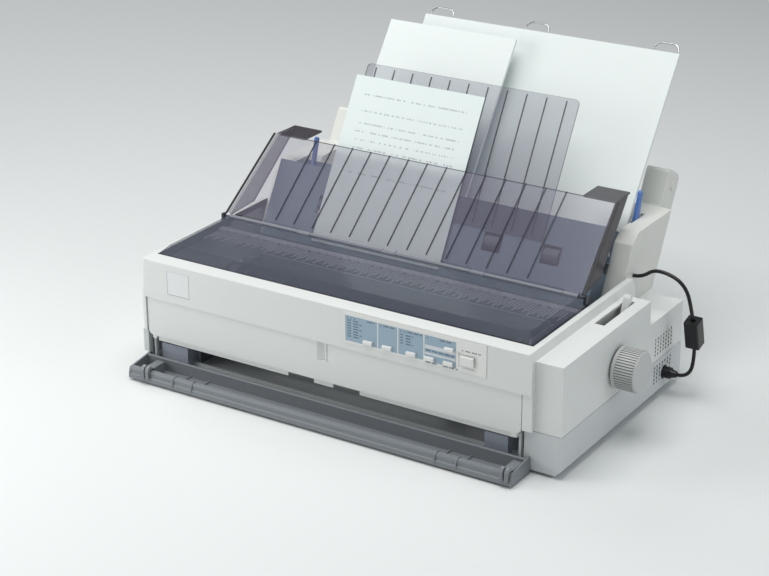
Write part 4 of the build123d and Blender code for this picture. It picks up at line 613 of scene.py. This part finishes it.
# dark duct behind the roller windows of the cross frame, in millimetres from the rollers' axis
duct = {"left": 118, "right": 482, "below": 22, "above": 26, "thick": 1.0, "rounding": 0.3,
        "behind": 10.5}
rollerLow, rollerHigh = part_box("eject_shaft")
rollerAxis = (Vector(rollerLow) + Vector(rollerHigh)) / 2
ductSheet = tile((duct["left"], -duct["thick"] / 2, -duct["below"]),
                 (duct["right"], duct["thick"] / 2, duct["above"]), duct["rounding"])
ductSheet.data.transform(Matrix.Translation(Vector((0, -bezelFace, 0))))
ductSheet.data.transform(Matrix.Rotation(math.radians(slopes["stacker"] - 90), 4, "X"))
ductSheet.data.transform(
    Matrix.Translation(Vector((0, rollerAxis.y, rollerAxis.z)) - squareToStacker * duct["behind"] / 1000))
finishPiece(ductSheet, "rollerDuct", "frameSlate", "printer")
print("flap rims and roller duct set")

# feeder cable: the same route as its solid, as a smooth spline
cable = {
    # the route in the case's millimetres, the rest in metres
    "route": [(560.5, 290.0, 151.0), (572.0, 290.0, 151.0), (591.0, 293.0, 166.0), (632.0, 290.0, 156.0),
              (645.0, 287.9, 117.0), (645.0, 302.3, 63.0), (647.0, 286.0, 31.5), (629.0, 286.0, 31.5)],
    "radius": 0.0024, "length": 0.2178,
}
cableCurve = bpy.data.curves.new("feederCable", "CURVE")
cableCurve.dimensions = "3D"
cableLine = cableCurve.splines.new("NURBS")
cableLine.points.add(len(cable["route"]) - 1)
for point, spot in zip(cableLine.points, cable["route"]):
    point.co = (*place(*spot), 1)
cableLine.order_u = 3
cableLine.use_endpoint_u = True
cableLine.resolution_u = 16
cableCurve.bevel_depth = cable["radius"]
cableCurve.bevel_resolution = 6
cableCurve.use_fill_caps = True
cablePiece = bpy.data.objects.new("feederCable", cableCurve)
bpy.context.scene.collection.objects.link(cablePiece)
cablePiece.data.materials.append(bpy.data.materials["cableBlack"])
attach(cablePiece, "printer")
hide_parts("feeder_cable")
print("feeder cable laid")

# floor, backdrop and light
floorShader = newFinish("paleFloor")[2]
floorShader.inputs["Base Color"].default_value = tone(226, 229, 229)
floorShader.inputs["Roughness"].default_value = 0.6
bpy.ops.object.select_all(action="DESELECT")
bpy.ops.mesh.primitive_plane_add(size=14, location=(0, 0, 0))
floorPiece = bpy.context.object
floorPiece.name = "floor"
floorPiece.data.materials.append(bpy.data.materials["paleFloor"])

world = bpy.data.worlds.new("studio")
bpy.context.scene.world = world
world.use_nodes = True
sky = world.node_tree.nodes["Background"]
sky.inputs["Color"].default_value = tone(236, 240, 244)
sky.inputs["Strength"].default_value = 0.26

lampSettings = [
    # name, place and size in metres, watts, colour
    ("keyLamp", (0.0, -0.45, 2.5), 1.7, 44, tone(255, 255, 253)),
    ("fillLamp", (-0.95, -0.9, 0.6), 0.7, 5.6, tone(255, 254, 252)),
    ("sideLamp", (2.3, 0.3, 1.3), 1.4, 11, tone(250, 252, 255)),
    ("backLamp", (-2.7, 1.1, 2.3), 1.6, 20, tone(255, 255, 255)),
]
lampTarget = Vector((0, 0, 0.1))
for lampName, lampPlace, lampSize, lampWatts, lampColour in lampSettings:
    lampData = bpy.data.lights.new(lampName, "AREA")
    lampData.size = lampSize
    lampData.energy = lampWatts
    lampData.color = lampColour[:3]
    lamp = bpy.data.objects.new(lampName, lampData)
    lamp.location = lampPlace
    lamp.rotation_mode = "QUATERNION"
    lamp.rotation_quaternion = (lampTarget - Vector(lampPlace)).to_track_quat("-Z", "Y")
    bpy.context.scene.collection.objects.link(lamp)
print("floor and lamps set")

# camera at the photograph's angle
cameraAim = {
    "azimuth": 32.638, "elevation": 22.792, "roll": -0.364,  # degrees
    "lens": 95.43, "sensor": 36, "stand": (1574.98, -1874.2, 1131.6),  # millimetres, as place takes them
    "farthest": 50,  # metres
}
cameraData = bpy.data.cameras.new("photoCamera")
cameraData.lens = cameraAim["lens"]
cameraData.sensor_width = cameraAim["sensor"]
cameraData.clip_end = cameraAim["farthest"]
camera = bpy.data.objects.new("photoCamera", cameraData)
bpy.context.scene.collection.objects.link(camera)
turn, rise = math.radians(cameraAim["azimuth"]), math.radians(cameraAim["elevation"])
backward = Vector((math.sin(turn) * math.cos(rise), -math.cos(turn) * math.cos(rise), math.sin(rise)))
camera.location = place(*cameraAim["stand"])
camera.rotation_mode = "QUATERNION"
rollTurn = Quaternion(backward, math.radians(cameraAim["roll"]))
camera.rotation_quaternion = rollTurn @ (-backward).to_track_quat("-Z", "Y")
bpy.context.scene.camera = camera
bpy.context.scene.view_settings.view_transform = "Standard"
